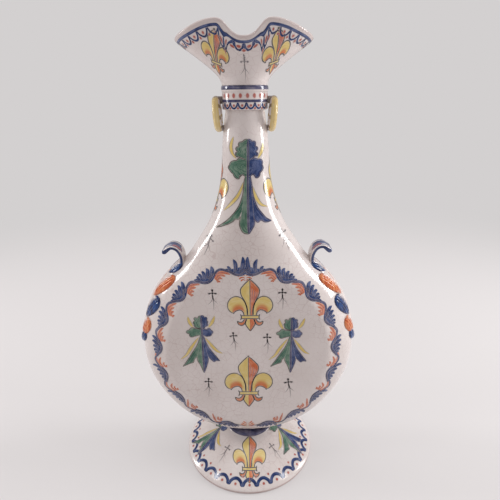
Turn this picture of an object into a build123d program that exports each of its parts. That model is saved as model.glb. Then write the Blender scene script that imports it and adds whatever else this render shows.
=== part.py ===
from build123d import *
from math import cos, radians, sin
import os

os.makedirs("parts", exist_ok=True)

# Pilgrim flask in tin-glazed earthenware. Origin at the centre of the foot's base,
# +Z up, the decorated flat faces look along -Y and +Y, the scroll handles along X.

# Foot: hollow bell that stands on its rim
foot_radius = 61.5
foot_height = 26.0
foot_edge_height = 3.4
foot_edge_round = 1.2
foot_rest_width = 6.5
foot_wall = 5.0
stem_radius = 19.5
stem_bore_radius = 12.0

# Bead between foot and body
stem_ring_radius = 22.6
stem_ring_height = 4.5

# Body: two pressed halves, each with a flat round panel, luted along the middle
body_height = 221.5
body_half_width = 94.2
body_half_depth = 43.7
panel_half_depth = 30.0
panel_edge_round = 7.0
body_wall = 5.0
body_floor = 5.0
# height along the body, half width and half depth of each level cross section
body_section_shares = (
    (0.000, 0.254, 0.355),
    (0.025, 0.449, 0.503),
    (0.065, 0.629, 0.636),
    (0.133, 0.788, 0.746),
    (0.223, 0.915, 0.870),
    (0.336, 0.993, 0.963),
    (0.449, 0.997, 0.998),
    (0.562, 0.933, 0.977),
    (0.652, 0.835, 0.902),
    (0.720, 0.701, 0.801),
    (0.774, 0.566, 0.682),
    (0.837, 0.455, 0.632),
    (0.910, 0.345, 0.604),
    (0.955, 0.294, 0.584),
)

# Neck: thrown tube with a flared base
neck_height = 86.0
neck_base_radius = 24.1
neck_shaft_radius = 19.1
neck_ring_seat_radius = 16.5
neck_top_radius = 14.6
neck_bore_radius = 10.4
# heights along the neck of its base flare, shaft and ring seat
neck_flare_share = 0.13
neck_flare_radius_share = 0.42
neck_shaft_share = 0.28
neck_ring_seat_share = 0.655
neck_top_share = 0.80

# Collar around the top of the neck
collar_height = 16.5
collar_radius = 16.8
collar_bead_height = 4.2
collar_bead_proud = 0.6
collar_foot_round = 1.0

# Mouth: flared, lobed left and right, dipped at front and back
mouth_height = 40.0
mouth_half_width = 61.0
mouth_half_depth = 35.0
mouth_wall = 5.6
mouth_lip_round = 1.4
mouth_trim = 2.0
# height, half width and half depth of each level cross section above the first
mouth_section_shares = (
    (0.105, 0.297, 0.497),
    (0.231, 0.375, 0.563),
    (0.376, 0.500, 0.660),
    (0.567, 0.682, 0.786),
    (0.795, 0.876, 0.909),
    (1.000, 1.000, 1.000),
)
# outline of the rim seen from the front: reach along X and height along Z
rim_outline_shares = (
    (0.000, 0.748),
    (0.090, 0.775),
    (0.162, 0.865),
    (0.218, 0.955),
    (0.287, 0.995),
    (0.381, 0.990),
    (0.508, 0.948),
    (0.639, 0.880),
    (0.770, 0.806),
    (0.861, 0.730),
    (0.959, 0.625),
)

# Fixed rings that hang at the neck, each from a lug and on a small pad of slip
ring_radius = 10.0
ring_tube_radius = 3.0
ring_tilt = 4.5
ring_clearance = 0.35
lug_half_width = 3.6
lug_half_height = 2.7
pad_half_width = 3.0
pad_half_height = 2.2

# Scroll handles on the shoulders
scroll_width = 16.0
scroll_root_width = 30.0
scroll_thickness = 3.4
scroll_edge_round = 1.0
scroll_bead_radius = 2.2
scroll_rise = 17.5
scroll_reach = 13.7
# place of the root as shares of the body's half width and height
scroll_root_width_share = 0.5817
scroll_root_height_share = 0.7494
# rise at which the strap, wide at its root, is down to its own width
scroll_flare_rise_share = 0.55
# reach and rise of the strap's middle line above its root
scroll_path_shares = (
    (0.00, 0.55),
    (0.27, 0.92),
    (0.62, 1.00),
    (1.00, 0.80),
)

# Leaf relief below each scroll
leaf_length = 77.0
leaf_half_width = 19.5
leaf_spine_relief = 1.8
leaf_lobe_relief = 2.8
leaf_spine_top_share = 0.50
leaf_spine_tip_share = 0.30
# place down the leaf, place across it, half length and half width of each lobe
leaf_lobe_shares = (
    (0.065, 0.40, 0.085, 0.27),
    (0.247, 0.60, 0.145, 0.36),
    (0.506, 0.64, 0.150, 0.38),
    (0.734, 0.64, 0.105, 0.33),
    (0.903, 0.56, 0.090, 0.24),
)
leaf_lobe_turn = 10.0

# Levels worked out from the sizes above
body_base_z = foot_height + stem_ring_height
neck_base_z = body_base_z + body_height
neck_top_z = neck_base_z + neck_height
collar_base_z = neck_top_z - collar_height
ring_seat_z = neck_base_z + neck_height * neck_ring_seat_share
scroll_root_x = body_half_width * scroll_root_width_share
scroll_root_z = body_base_z + body_height * scroll_root_height_share


def level_loft(levels):
    """Loft through level ellipses given as height, half width and half depth."""
    with BuildPart() as shape:
        for height, half_width, half_depth in levels:
            with BuildSketch(Plane.XY.offset(height)):
                Ellipse(half_width, half_depth)
        loft()
    return shape.part


def body_levels(grow, floor):
    """Cross sections of the body, moved out by grow and started above a floor."""
    height = body_height - floor
    levels = []
    for height_share, width_share, depth_share in body_section_shares:
        level = body_base_z + floor + height * height_share
        levels.append((level, body_half_width * width_share + grow, body_half_depth * depth_share + grow))
    levels.append((neck_base_z, neck_base_radius + grow, neck_base_radius + grow))
    return levels


def body_form(grow, floor):
    """Body form with its two flat panels."""
    form = level_loft(body_levels(grow, floor))
    with BuildPart() as shape:
        add(form)
        with BuildSketch(Plane.XY.offset(body_base_z)):
            Rectangle(2 * (body_half_width + body_wall), 2 * (panel_half_depth + grow))
        extrude(amount=body_height, mode=Mode.INTERSECT)
    return shape.part


def make_foot():
    rest_radius = foot_radius - foot_rest_width
    arch_height = foot_height - foot_wall
    with BuildPart() as foot:
        with BuildSketch(Plane.XZ):
            with BuildLine():
                Line((stem_bore_radius, foot_height), (stem_radius, foot_height))
                Bezier(
                    (stem_radius, foot_height),
                    (stem_radius, foot_height - foot_wall),
                    ((stem_radius + foot_radius) / 2, foot_height / 2 + foot_edge_height),
                    (foot_radius, foot_edge_height),
                )
                Line((foot_radius, foot_edge_height), (foot_radius, 0))
                Line((foot_radius, 0), (rest_radius, 0))
                Bezier(
                    (rest_radius, 0),
                    ((stem_radius + rest_radius) / 2, foot_height / 2 - foot_edge_height),
                    (stem_radius, arch_height - foot_wall),
                    (stem_bore_radius, arch_height - foot_edge_height),
                )
                Line((stem_bore_radius, arch_height - foot_edge_height), (stem_bore_radius, foot_height))
            make_face()
        revolve(axis=Axis.Z)
        edge = foot.edges().filter_by(GeomType.CIRCLE).sort_by(SortBy.RADIUS).group_by(Axis.Z)
        fillet(edge[0].sort_by(SortBy.RADIUS)[-1], foot_edge_round)
    foot.part.label = "foot"
    return foot.part


def make_stem_ring():
    bead = stem_ring_height / 2
    with BuildPart() as stem_ring:
        with BuildSketch(Plane.XZ):
            with BuildLine():
                Line((stem_bore_radius, body_base_z), (stem_bore_radius, foot_height))
                Line((stem_bore_radius, foot_height), (stem_ring_radius - bead, foot_height))
                ThreePointArc(
                    (stem_ring_radius - bead, foot_height),
                    (stem_ring_radius, foot_height + bead),
                    (stem_ring_radius - bead, body_base_z),
                )
                Line((stem_ring_radius - bead, body_base_z), (stem_bore_radius, body_base_z))
            make_face()
        revolve(axis=Axis.Z)
    stem_ring.part.label = "stem_ring"
    return stem_ring.part


def make_body_front(outer, inner):
    with BuildPart() as body_front:
        add(outer)
        panel_edges = body_front.faces().sort_by(Axis.Y)[0].edges()
        fillet(panel_edges, panel_edge_round)
        add(inner, mode=Mode.SUBTRACT)
        split(bisect_by=Plane.XZ, keep=Keep.TOP)
    body_front.part.label = "body_front"
    return body_front.part


def make_neck():
    base_bore_radius = neck_base_radius - body_wall
    flare_radius = neck_shaft_radius + (neck_base_radius - neck_shaft_radius) * neck_flare_radius_share
    flare_z = neck_base_z + neck_height * neck_flare_share
    shaft_z = neck_base_z + neck_height * neck_shaft_share
    waist_z = neck_base_z + neck_height * neck_top_share
    with BuildPart() as neck:
        with BuildSketch(Plane.XZ):
            with BuildLine():
                Spline(
                    (neck_base_radius, neck_base_z),
                    (flare_radius, flare_z),
                    (neck_shaft_radius, shaft_z),
                    (neck_ring_seat_radius, ring_seat_z),
                    (neck_top_radius, waist_z),
                )
                Line((neck_top_radius, waist_z), (neck_top_radius, neck_top_z))
                Line((neck_top_radius, neck_top_z), (neck_bore_radius, neck_top_z))
                Line((neck_bore_radius, neck_top_z), (neck_bore_radius, ring_seat_z))
                Spline(
                    (neck_bore_radius, ring_seat_z),
                    (neck_shaft_radius - body_wall, shaft_z),
                    (flare_radius - body_wall, flare_z),
                    (base_bore_radius, neck_base_z),
                )
                Line((base_bore_radius, neck_base_z), (neck_base_radius, neck_base_z))
            make_face()
        revolve(axis=Axis.Z)
    neck.part.label = "neck"
    return neck.part


def make_collar():
    bead_z = neck_top_z - collar_bead_height
    bead_radius = collar_radius + collar_bead_proud
    with BuildPart() as collar:
        with BuildSketch(Plane.XZ):
            with BuildLine():
                Line((neck_top_radius, neck_top_z), (neck_top_radius, collar_base_z))
                Line((neck_top_radius, collar_base_z), (collar_radius, collar_base_z))
                Line((collar_radius, collar_base_z), (collar_radius, bead_z))
                ThreePointArc(
                    (collar_radius, bead_z),
                    (bead_radius, bead_z + collar_bead_height / 2),
                    (collar_radius, neck_top_z),
                )
                Line((collar_radius, neck_top_z), (neck_top_radius, neck_top_z))
            make_face()
        revolve(axis=Axis.Z)
        lower = collar.edges().filter_by(GeomType.CIRCLE).group_by(Axis.Z)[0]
        fillet(lower.sort_by(SortBy.RADIUS)[-1], collar_foot_round)
    collar.part.label = "collar"
    return collar.part


def mouth_levels(grow, first_radius):
    """Cross sections of the mouth from its seat on the neck to above the rim."""
    rim_z = mouth_height + mouth_trim
    levels = [(neck_top_z, first_radius, first_radius)]
    for height_share, width_share, depth_share in mouth_section_shares:
        level = neck_top_z + rim_z * height_share
        levels.append((level, mouth_half_width * width_share + grow, mouth_half_depth * depth_share + grow))
    return levels


def make_mouth():
    bore = level_loft(mouth_levels(-mouth_wall, neck_bore_radius))
    over = mouth_half_width + mouth_trim
    right = []
    for reach_share, height_share in rim_outline_shares:
        right.append((mouth_half_width * reach_share, neck_top_z + mouth_height * height_share))
    left = [(-x, z) for x, z in reversed(right[1:])]
    rim = left + right
    top_z = neck_top_z + mouth_height + 2 * mouth_trim
    with BuildPart() as mouth:
        add(level_loft(mouth_levels(0, collar_radius)))
        add(bore, mode=Mode.SUBTRACT)
        with BuildSketch(Plane.XZ):
            with BuildLine():
                Spline(*rim)
                Polyline(rim[-1], (over, rim[-1][1]), (over, top_z), (-over, top_z), (-over, rim[0][1]), rim[0])
            make_face()
        extrude(amount=over, both=True, mode=Mode.SUBTRACT)
        fillet(mouth.faces().sort_by(Axis.Z)[-1].edges(), mouth_lip_round)
    mouth.part.label = "mouth"
    return mouth.part


def ring_reach():
    """Distance from the neck's axis to the middle of the ring's lowest tube."""
    return neck_ring_seat_radius + ring_clearance + ring_tube_radius


def make_right_ring():
    """Ring that hangs beside the neck, its upper side leaning out."""
    tilt = radians(ring_tilt)
    centre = (ring_reach() + ring_radius * sin(tilt), 0, ring_seat_z + ring_radius * cos(tilt))
    with BuildPart(Plane(origin=centre, z_dir=(cos(tilt), 0, -sin(tilt)))) as ring:
        Torus(ring_radius, ring_tube_radius)
    ring.part.label = "right_ring"
    return ring.part


def make_right_lug(collar, ring):
    """Lug from the collar to the top of the ring."""
    tilt = radians(ring_tilt)
    top_x = ring_reach() + 2 * ring_radius * sin(tilt)
    with BuildPart() as lug:
        with BuildSketch(Plane.YZ.offset(neck_top_radius)):
            with Locations((0, ring_seat_z + 2 * ring_radius * cos(tilt))):
                Ellipse(lug_half_width, lug_half_height)
        extrude(amount=top_x - neck_top_radius)
        add(collar, mode=Mode.SUBTRACT)
        add(ring, mode=Mode.SUBTRACT)
    lug.part.label = "right_ring_lug"
    return lug.part


def make_right_pad(neck, ring):
    """Pad of slip from the neck to the foot of the ring."""
    with BuildPart() as pad:
        with BuildSketch(Plane.YZ.offset(neck_top_radius)):
            with Locations((0, ring_seat_z)):
                Ellipse(pad_half_width, pad_half_height)
        extrude(amount=ring_reach() - neck_top_radius)
        add(neck, mode=Mode.SUBTRACT)
        add(ring, mode=Mode.SUBTRACT)
    pad.part.label = "right_ring_pad"
    return pad.part


def make_right_scroll(outer):
    """Strap that rises from the shoulder, wide at its root, and rolls outwards to a beaded tip."""
    points = [(scroll_root_x, scroll_root_z - scroll_thickness)]
    for reach_share, rise_share in scroll_path_shares:
        points.append((scroll_root_x + scroll_reach * reach_share, scroll_root_z + scroll_rise * rise_share))
    root_y = scroll_root_width / 2
    strap_y = scroll_width / 2
    base_z = scroll_root_z - scroll_thickness
    buried_z = base_z - scroll_thickness
    flare_z = scroll_root_z + scroll_rise * scroll_flare_rise_share
    top_z = scroll_root_z + 2 * scroll_rise
    with BuildPart() as scroll:
        with BuildSketch(Plane.XZ):
            with BuildLine():
                Spline(*points)
            trace(line_width=scroll_thickness)
            with Locations(points[-1]):
                Circle(scroll_bead_radius)
        extrude(amount=root_y, both=True)
        with BuildSketch(Plane.YZ):
            with BuildLine():
                Bezier((root_y, base_z), (strap_y, scroll_root_z), (strap_y, flare_z))
                Polyline((strap_y, flare_z), (strap_y, top_z), (0, top_z), (0, buried_z))
                Polyline((0, buried_z), (root_y, buried_z), (root_y, base_z))
            make_face()
            mirror(about=Plane.YZ)
        extrude(amount=scroll_root_x + 2 * scroll_reach, mode=Mode.INTERSECT)
        sides = scroll.faces().filter_by(lambda face: abs(face.normal_at().Y) > abs(face.normal_at().X))
        free_edges = sides.edges().filter_by(lambda edge: edge.center().Z > scroll_root_z)
        fillet(free_edges, scroll_edge_round)
        add(outer, mode=Mode.SUBTRACT)
    scroll.part.label = "right_scroll"
    return scroll.part


def make_right_leaf(outer, spine_skin, lobe_skin, scroll):
    """Leaf relief: a tapering spine with lobes along both margins."""
    top_z = scroll_root_z + scroll_thickness
    tip_z = top_z - leaf_length
    top_y = leaf_half_width * leaf_spine_top_share
    tip_y = leaf_half_width * leaf_spine_tip_share
    reach = body_half_width + 2 * leaf_lobe_relief
    with BuildPart() as spine:
        with BuildSketch(Plane.YZ):
            with BuildLine():
                Polyline((top_y, top_z), (tip_y, tip_z), (-tip_y, tip_z), (-top_y, top_z), close=True)
            make_face()
        extrude(amount=reach)
        add(spine_skin, mode=Mode.INTERSECT)
    with BuildPart() as lobes:
        with BuildSketch(Plane.YZ):
            for down_share, across_share, length_share, width_share in leaf_lobe_shares:
                lobe_z = top_z - leaf_length * down_share
                lobe_y = leaf_half_width * across_share
                for side in (-1, 1):
                    with Locations(Location((side * lobe_y, lobe_z), side * leaf_lobe_turn)):
                        Ellipse(leaf_half_width * width_share, leaf_length * length_share)
        extrude(amount=reach)
        add(lobe_skin, mode=Mode.INTERSECT)
    with BuildPart() as leaf:
        add(spine.part)
        add(lobes.part)
        add(outer, mode=Mode.SUBTRACT)
        add(scroll, mode=Mode.SUBTRACT)
    leaf.part.label = "right_leaf"
    return leaf.part


def mirrored(piece, plane, label):
    """Copy of a piece on the other side of a plane."""
    with BuildPart() as copy:
        add(piece)
        mirror(about=plane, mode=Mode.REPLACE)
    copy.part.label = label
    return copy.part


outer_body = body_form(0, 0)
inner_body = body_form(-body_wall, body_floor)
foot = make_foot()
stem_ring = make_stem_ring()
body_front = make_body_front(outer_body, inner_body)
neck = make_neck()
collar = make_collar()
mouth = make_mouth()
right_ring = make_right_ring()
right_lug = make_right_lug(collar, right_ring)
right_pad = make_right_pad(neck, right_ring)
right_scroll = make_right_scroll(outer_body)
spine_skin = body_form(leaf_spine_relief, 0)
lobe_skin = body_form(leaf_lobe_relief, 0)
right_leaf = make_right_leaf(outer_body, spine_skin, lobe_skin, right_scroll)
pieces = [
    foot,
    stem_ring,
    body_front,
    mirrored(body_front, Plane.XZ, "body_back"),
    neck,
    collar,
    mouth,
    right_ring,
    mirrored(right_ring, Plane.YZ, "left_ring"),
    right_lug,
    mirrored(right_lug, Plane.YZ, "left_ring_lug"),
    right_pad,
    mirrored(right_pad, Plane.YZ, "left_ring_pad"),
    right_scroll,
    mirrored(right_scroll, Plane.YZ, "left_scroll"),
    right_leaf,
    mirrored(right_leaf, Plane.YZ, "left_leaf"),
]
for piece in pieces:
    export_step(piece, f"parts/{piece.label}.step")
    print(piece.label, round(piece.volume), len(piece.solids()), piece.bounding_box())
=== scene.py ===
import logging
import math
from dataclasses import dataclass, field
from enum import Enum
from typing import Callable, ClassVar, Sequence

import bpy
import numpy as np
from mathutils import Matrix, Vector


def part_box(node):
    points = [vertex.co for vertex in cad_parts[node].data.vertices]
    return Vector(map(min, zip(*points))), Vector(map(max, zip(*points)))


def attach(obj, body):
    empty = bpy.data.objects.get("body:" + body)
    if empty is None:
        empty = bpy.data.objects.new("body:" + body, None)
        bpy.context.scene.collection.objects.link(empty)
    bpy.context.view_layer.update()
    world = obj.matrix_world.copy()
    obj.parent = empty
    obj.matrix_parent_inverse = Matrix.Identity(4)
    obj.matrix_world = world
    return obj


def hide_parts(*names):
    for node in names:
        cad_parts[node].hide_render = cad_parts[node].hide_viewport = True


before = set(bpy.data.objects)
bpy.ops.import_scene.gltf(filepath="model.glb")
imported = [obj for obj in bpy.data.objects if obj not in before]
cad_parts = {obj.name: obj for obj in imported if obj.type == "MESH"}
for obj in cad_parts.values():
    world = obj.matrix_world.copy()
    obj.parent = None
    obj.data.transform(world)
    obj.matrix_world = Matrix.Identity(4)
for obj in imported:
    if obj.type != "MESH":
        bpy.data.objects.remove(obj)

Array = np.ndarray
Pair = tuple[float, float]
Points = Sequence[Pair]
Colour3 = tuple[float, float, float]
Triple = tuple[float, float, float]
Socket = bpy.types.NodeSocket
Node = bpy.types.Node
Piece = bpy.types.Object
Material = bpy.types.Material

MM = 0.001
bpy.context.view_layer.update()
ROOT = "root"
log = logging.getLogger("pilgrim_flask")


# Lines and curves

class Spline:
    """Natural cubic spline: slope and curvature run on through every knot."""

    def __init__(self, knots: Sequence[float], values: Sequence[float]) -> None:
        """Finds the second derivative at each knot.

        Args:
            knots: rising places.
            values: the curve's value at each place.
        """
        self.knots = np.asarray(knots, float)
        self.values = np.asarray(values, float)
        count = len(self.knots)
        gaps = np.diff(self.knots)
        slopes = np.diff(self.values) / gaps
        system = np.eye(count)
        target = np.zeros(count)
        inner = np.arange(1, count - 1)
        system[inner, inner - 1] = gaps[:-1]
        system[inner, inner] = 2 * (gaps[:-1] + gaps[1:])
        system[inner, inner + 1] = gaps[1:]
        target[inner] = 6 * np.diff(slopes)
        self.bends = np.linalg.solve(system, target)

    def __call__(self, at: Array) -> Array:
        """The curve's value: a cubic between the two knots beside each place."""
        at = np.asarray(at, float)
        left = np.clip(np.searchsorted(self.knots, at, side="right") - 1, 0, len(self.knots) - 2)
        gap = self.knots[left + 1] - self.knots[left]
        before = (self.knots[left + 1] - at) / gap
        after = 1 - before
        value = before * self.values[left] + after * self.values[left + 1]
        bend = (before**3 - before) * self.bends[left] + (after**3 - after) * self.bends[left + 1]
        return value + bend * gap**2 / 6


def run_along(line: Array) -> Array:
    """Length run from a line's start to each of its points."""
    return np.concatenate([[0.0], np.cumsum(np.linalg.norm(np.diff(line, axis=0), axis=1))])


def unit(vectors: Array) -> Array:
    """The same directions at length 1."""
    return vectors / np.maximum(np.linalg.norm(vectors, axis=-1, keepdims=True), 1e-12)


def full_turn(count: int) -> Array:
    """Even angles once round, the last one short of the first."""
    return np.linspace(0, 2 * math.pi, count, endpoint=False)


def rotated(points: Array, angle: float) -> Array:
    """Flat points turned about their origin."""
    cosine, sine = math.cos(angle), math.sin(angle)
    return points @ np.array([[cosine, sine], [-sine, cosine]])


def round_axis(wide: Array, deep: Array, angle: Array, height: Array) -> Array:
    """Points of level ellipses round the Z axis, at angles taken from the front towards +X."""
    parts = np.broadcast_arrays(wide * np.sin(angle), -deep * np.cos(angle), height)
    return np.stack(parts, axis=-1)


def spaced(line: Array, step: float, least: int = 3) -> Array:
    """Samples a dense line at even distances along it.

    Args:
        line: points along the line, one row each.
        step: wanted distance between samples.
        least: fewest samples.

    Returns:
        The samples, both ends included.
    """
    reach = run_along(line)
    count = max(least, int(math.ceil(reach[-1] / step)) + 1)
    wanted = np.linspace(0, reach[-1], count)
    return np.stack([np.interp(wanted, reach, line[:, axis]) for axis in range(line.shape[1])], axis=1)


def flow(points: Points, step: float) -> Array:
    """Smooth line through given points.

    Each span is a cubic whose end slopes are those of its neighbours, over the
    square root of the distance between points, so it swings wide nowhere.

    Args:
        points: the points it passes.
        step: distance between the samples.

    Returns:
        Even samples along it.
    """
    given = np.asarray(points, float)
    if len(given) == 2:
        return spaced(given, step)
    gaps = np.sqrt(np.linalg.norm(np.diff(given, axis=0), axis=1))
    time = np.concatenate([[0.0], np.cumsum(np.maximum(gaps, 1e-9))])
    slopes = np.gradient(given, time, axis=0)
    per_span = 14
    share = np.linspace(0, 1, per_span, endpoint=False)[None, :, None]
    width = np.diff(time)[:, None, None]
    start, end = given[:-1, None], given[1:, None]
    line = (
        (2 * share**3 - 3 * share**2 + 1) * start
        + (share**3 - 2 * share**2 + share) * width * slopes[:-1, None]
        + (3 * share**2 - 2 * share**3) * end
        + (share**3 - share**2) * width * slopes[1:, None]
    )
    return spaced(np.concatenate([line.reshape(-1, given.shape[1]), given[-1:]]), step)


def bezier(points: Points, count: int) -> Array:
    """Points of a Bezier curve: the given points weighted by the binomial terms of the share."""
    given = np.asarray(points, float)
    degree = len(given) - 1
    share = np.linspace(0, 1, count)[:, None]
    rest = 1 - share
    return sum(math.comb(degree, k) * share**k * rest ** (degree - k) * given[k] for k in range(degree + 1))


def smooth_step(value: Array, low: float, high: float) -> Array:
    """0 below low, 1 above high and a cubic ease between them."""
    share = np.clip((value - low) / (high - low), 0, 1)
    return share * share * (3 - 2 * share)


# Meshes

class MeshParts:
    """Gathers grids of points into the vertices and faces of one mesh."""

    def __init__(self) -> None:
        """Starts with nothing in it."""
        self.points: list[Array] = []
        self.normals: list[Array] = []
        self.marks: dict[str, list[Array]] = {}
        self.loops: list[Array] = []
        self.sizes: list[Array] = []
        self.slots: list[Array] = []
        self.count = 0

    def faces(self, corners: Array, slot: int) -> None:
        """Adds faces given as rows of vertex numbers, all in one material slot."""
        self.loops.append(corners.reshape(-1))
        self.sizes.append(np.full(len(corners), corners.shape[1]))
        self.slots.append(np.full(len(corners), slot))

    def grid(
        self,
        points: Array,
        round_trip: bool = False,
        ring: bool = False,
        caps: tuple[bool, bool] = (False, False),
        normals: Array | None = None,
        marks: dict[str, Array] | None = None,
        slot: int = 0,
        flip: bool = False,
    ) -> None:
        """Adds a grid of points as quads.

        Args:
            points: rows by columns by 3.
            round_trip: joins the last column to the first.
            ring: joins the last row to the first.
            caps: closes the first and the last row with a fan round their middle.
            normals: rows by columns by 3.
            marks: values kept at each point, one or three to a point.
            slot: which material the faces take.
            flip: turns the faces over.
        """
        rows, columns = points.shape[:2]
        numbers = self.count + np.arange(rows * columns).reshape(rows, columns)
        self.points.append(points.reshape(-1, 3))
        if normals is not None:
            self.normals.append(normals.reshape(-1, 3))
        for name, values in (marks or {}).items():
            self.marks.setdefault(name, []).append(values.reshape(rows * columns, -1))
        self.count += rows * columns
        wrapped = np.concatenate([numbers, numbers[:1]]) if ring else numbers
        if round_trip:
            wrapped = np.concatenate([wrapped, wrapped[:, :1]], axis=1)
        corners = np.stack([wrapped[:-1, :-1], wrapped[:-1, 1:], wrapped[1:, 1:], wrapped[1:, :-1]], axis=-1)
        self.faces(self._turned(corners.reshape(-1, 4), flip), slot)
        for wanted, row, over in ((caps[0], 0, not flip), (caps[1], rows - 1, flip)):
            if wanted:
                self._fan(points[row], numbers[row], over, slot)

    def _fan(self, edge: Array, numbers: Array, over: bool, slot: int) -> None:
        """Triangles from one closed row of points to their middle."""
        self.points.append(edge.mean(axis=0)[None])
        for values in self.marks.values():
            values.append(values[-1][:1])
        middle = np.full(len(numbers), self.count)
        self.count += 1
        corners = np.stack([numbers, np.roll(numbers, -1), middle], axis=1)
        self.faces(self._turned(corners, over), slot)

    @staticmethod
    def _turned(corners: Array, over: bool) -> Array:
        """The same faces, turned over where asked."""
        return corners[:, ::-1] if over else corners

    def build(self, name: str, materials: Sequence[Material]) -> Piece:
        """Makes the object.

        Args:
            name: the piece's name.
            materials: its materials, by slot number.

        Returns:
            The object, linked to the scene, at the origin.
        """
        mesh = bpy.data.meshes.new(name)
        points = np.concatenate(self.points).astype(np.float32)
        loops = np.concatenate(self.loops).astype(np.int32)
        sizes = np.concatenate(self.sizes)
        starts = np.concatenate([[0], np.cumsum(sizes)[:-1]]).astype(np.int32)
        mesh.vertices.add(len(points))
        mesh.vertices.foreach_set("co", points.ravel())
        mesh.loops.add(len(loops))
        mesh.loops.foreach_set("vertex_index", loops)
        mesh.polygons.add(len(sizes))
        mesh.polygons.foreach_set("loop_start", starts)
        mesh.polygons.foreach_set("material_index", np.concatenate(self.slots).astype(np.int32))
        mesh.update(calc_edges=True)
        mesh.validate()
        mesh.polygons.foreach_set("use_smooth", np.ones(len(mesh.polygons), bool))
        for mark, values in self.marks.items():
            found = np.concatenate(values)
            kind, entry = ("FLOAT", "value") if found.shape[1] == 1 else ("FLOAT_VECTOR", "vector")
            layer = mesh.attributes.new(mark, kind, "POINT")
            layer.data.foreach_set(entry, found.astype(np.float32).ravel())
        if self.normals:
            mesh.normals_split_custom_set_from_vertices(np.concatenate(self.normals).tolist())
        for material in materials:
            mesh.materials.append(material)
        piece = bpy.data.objects.new(name, mesh)
        bpy.context.scene.collection.objects.link(piece)
        return piece


def revolved(profile: Array, columns: int) -> Array:
    """Carries a profile of radius and height round the Z axis."""
    return round_axis(profile[:, :1], profile[:, :1], full_turn(columns), profile[:, 1:])


def settle(piece: Piece, slot: str, *nodes: str) -> Piece:
    """Puts a finished piece on the flask's body.

    Args:
        piece: the piece.
        slot: the name of its finish; not used.
        nodes: the CAD nodes that it stands for.

    Returns:
        The same piece.
    """
    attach(piece, ROOT)
    if nodes:
        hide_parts(*nodes)
    log.info("%s: %d faces", piece.name, len(piece.data.polygons))
    return piece


# Finishes

def tone(red: int, green: int, blue: int) -> Colour3:
    """A colour given in display values from 0 to 255, as the linear values that the shaders take."""
    shares = np.array([red, green, blue]) / 255
    linear = np.where(shares <= 0.04045, shares / 12.92, ((shares + 0.055) / 1.055) ** 2.4)
    return tuple(float(value) for value in linear)


class Wiring:
    """Adds nodes to one tree and joins them."""

    def __init__(self, tree: bpy.types.NodeTree) -> None:
        """Keeps the tree."""
        self.tree = tree

    def node(self, kind: str, **settings: object) -> Node:
        """Adds a node and sets its options."""
        made = self.tree.nodes.new(kind)
        for name, value in settings.items():
            setattr(made, name, value)
        return made

    def feed(self, socket: Socket, value: object) -> None:
        """Joins an output to a socket, or sets the socket to a plain value."""
        if isinstance(value, Socket):
            self.tree.links.new(value, socket)
        elif isinstance(value, tuple) and len(value) == 3 and socket.type == "RGBA":
            socket.default_value = (*value, 1.0)
        else:
            socket.default_value = value

    def fed(self, kind: str, *values: object, **settings: object) -> Node:
        """Adds a node with its options and feeds its first inputs in order."""
        made = self.node(kind, **settings)
        for socket, value in zip(made.inputs, values):
            self.feed(socket, value)
        return made

    def math(self, operation: str, first: object, second: object, clamp: bool = False) -> Socket:
        """One arithmetic step."""
        return self.fed("ShaderNodeMath", first, second, operation=operation, use_clamp=clamp).outputs[0]

    def ease(self, value: object, low: float, high: float, start: float = 0.0, end: float = 1.0) -> Socket:
        """Maps low and high to start and end, with an eased run between them."""
        run = (value, low, high, start, end)
        return self.fed("ShaderNodeMapRange", *run, interpolation_type="SMOOTHSTEP").outputs[0]

    def mark(self, name: str, output: str = "Fac") -> Socket:
        """Reads one of the mesh's marks."""
        return self.node("ShaderNodeAttribute", attribute_name=name).outputs[output]

    def mixed_shader(self, share: object, first: object, second: object) -> Socket:
        """Mixes two shaders."""
        return self.fed("ShaderNodeMixShader", share, first, second).outputs[0]

    def mix(self, share: object, first: object, second: object) -> Socket:
        """Mixes two colours."""
        made = self.node("ShaderNodeMix", data_type="RGBA")
        self.feed(made.inputs[0], share)
        self.feed(made.inputs[6], first)
        self.feed(made.inputs[7], second)
        return made.outputs[2]

    def texture(self, kind: str, place: object, scale: float, **settings: object) -> Node:
        """A procedural texture read at each place."""
        made = self.node(f"ShaderNodeTex{kind}", **settings)
        self.feed(made.inputs["Vector"], place)
        made.inputs["Scale"].default_value = scale
        return made

    def noise(self, place: object, scale: float, detail: float = 2.0) -> Socket:
        """Soft noise from 0 to 1 at each place."""
        made = self.texture("Noise", place, scale)
        made.inputs["Detail"].default_value = detail
        return made.outputs[0]


def blank_material(name: str) -> tuple[Material, Wiring, Node]:
    """A new material, with its wiring and its Principled shader."""
    material = bpy.data.materials.new(name)
    material.use_nodes = True
    return material, Wiring(material.node_tree), material.node_tree.nodes["Principled BSDF"]


class GroupRecipe:
    """A node group with named inputs and outputs, built once."""

    def __init__(
        self, name: str, inputs: Sequence[tuple[str, str]], outputs: Sequence[tuple[str, str]]
    ) -> None:
        """Makes the tree and its sockets.

        Args:
            name: the group's name.
            inputs: name and kind of each input, the kind being Float, Color or Vector.
            outputs: name and kind of each output.
        """
        self.tree = bpy.data.node_groups.new(name, "ShaderNodeTree")
        for direction, sockets in (("INPUT", inputs), ("OUTPUT", outputs)):
            for label, kind in sockets:
                self.tree.interface.new_socket(name=label, in_out=direction, socket_type=f"NodeSocket{kind}")
        self.wiring = Wiring(self.tree)
        self.inputs = self.wiring.node("NodeGroupInput").outputs
        self.outputs = self.wiring.node("NodeGroupOutput").inputs

    def placed(self, wiring: Wiring, **values: object) -> Node:
        """Places the group in a material and feeds its inputs.

        Args:
            wiring: the material's wiring.
            values: what each input takes, spaces in its name written as low lines.

        Returns:
            The group's node.
        """
        made = wiring.node("ShaderNodeGroup", node_tree=self.tree)
        for name, value in values.items():
            wiring.feed(made.inputs[name.replace("_", " ")], value)
        return made


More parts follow.
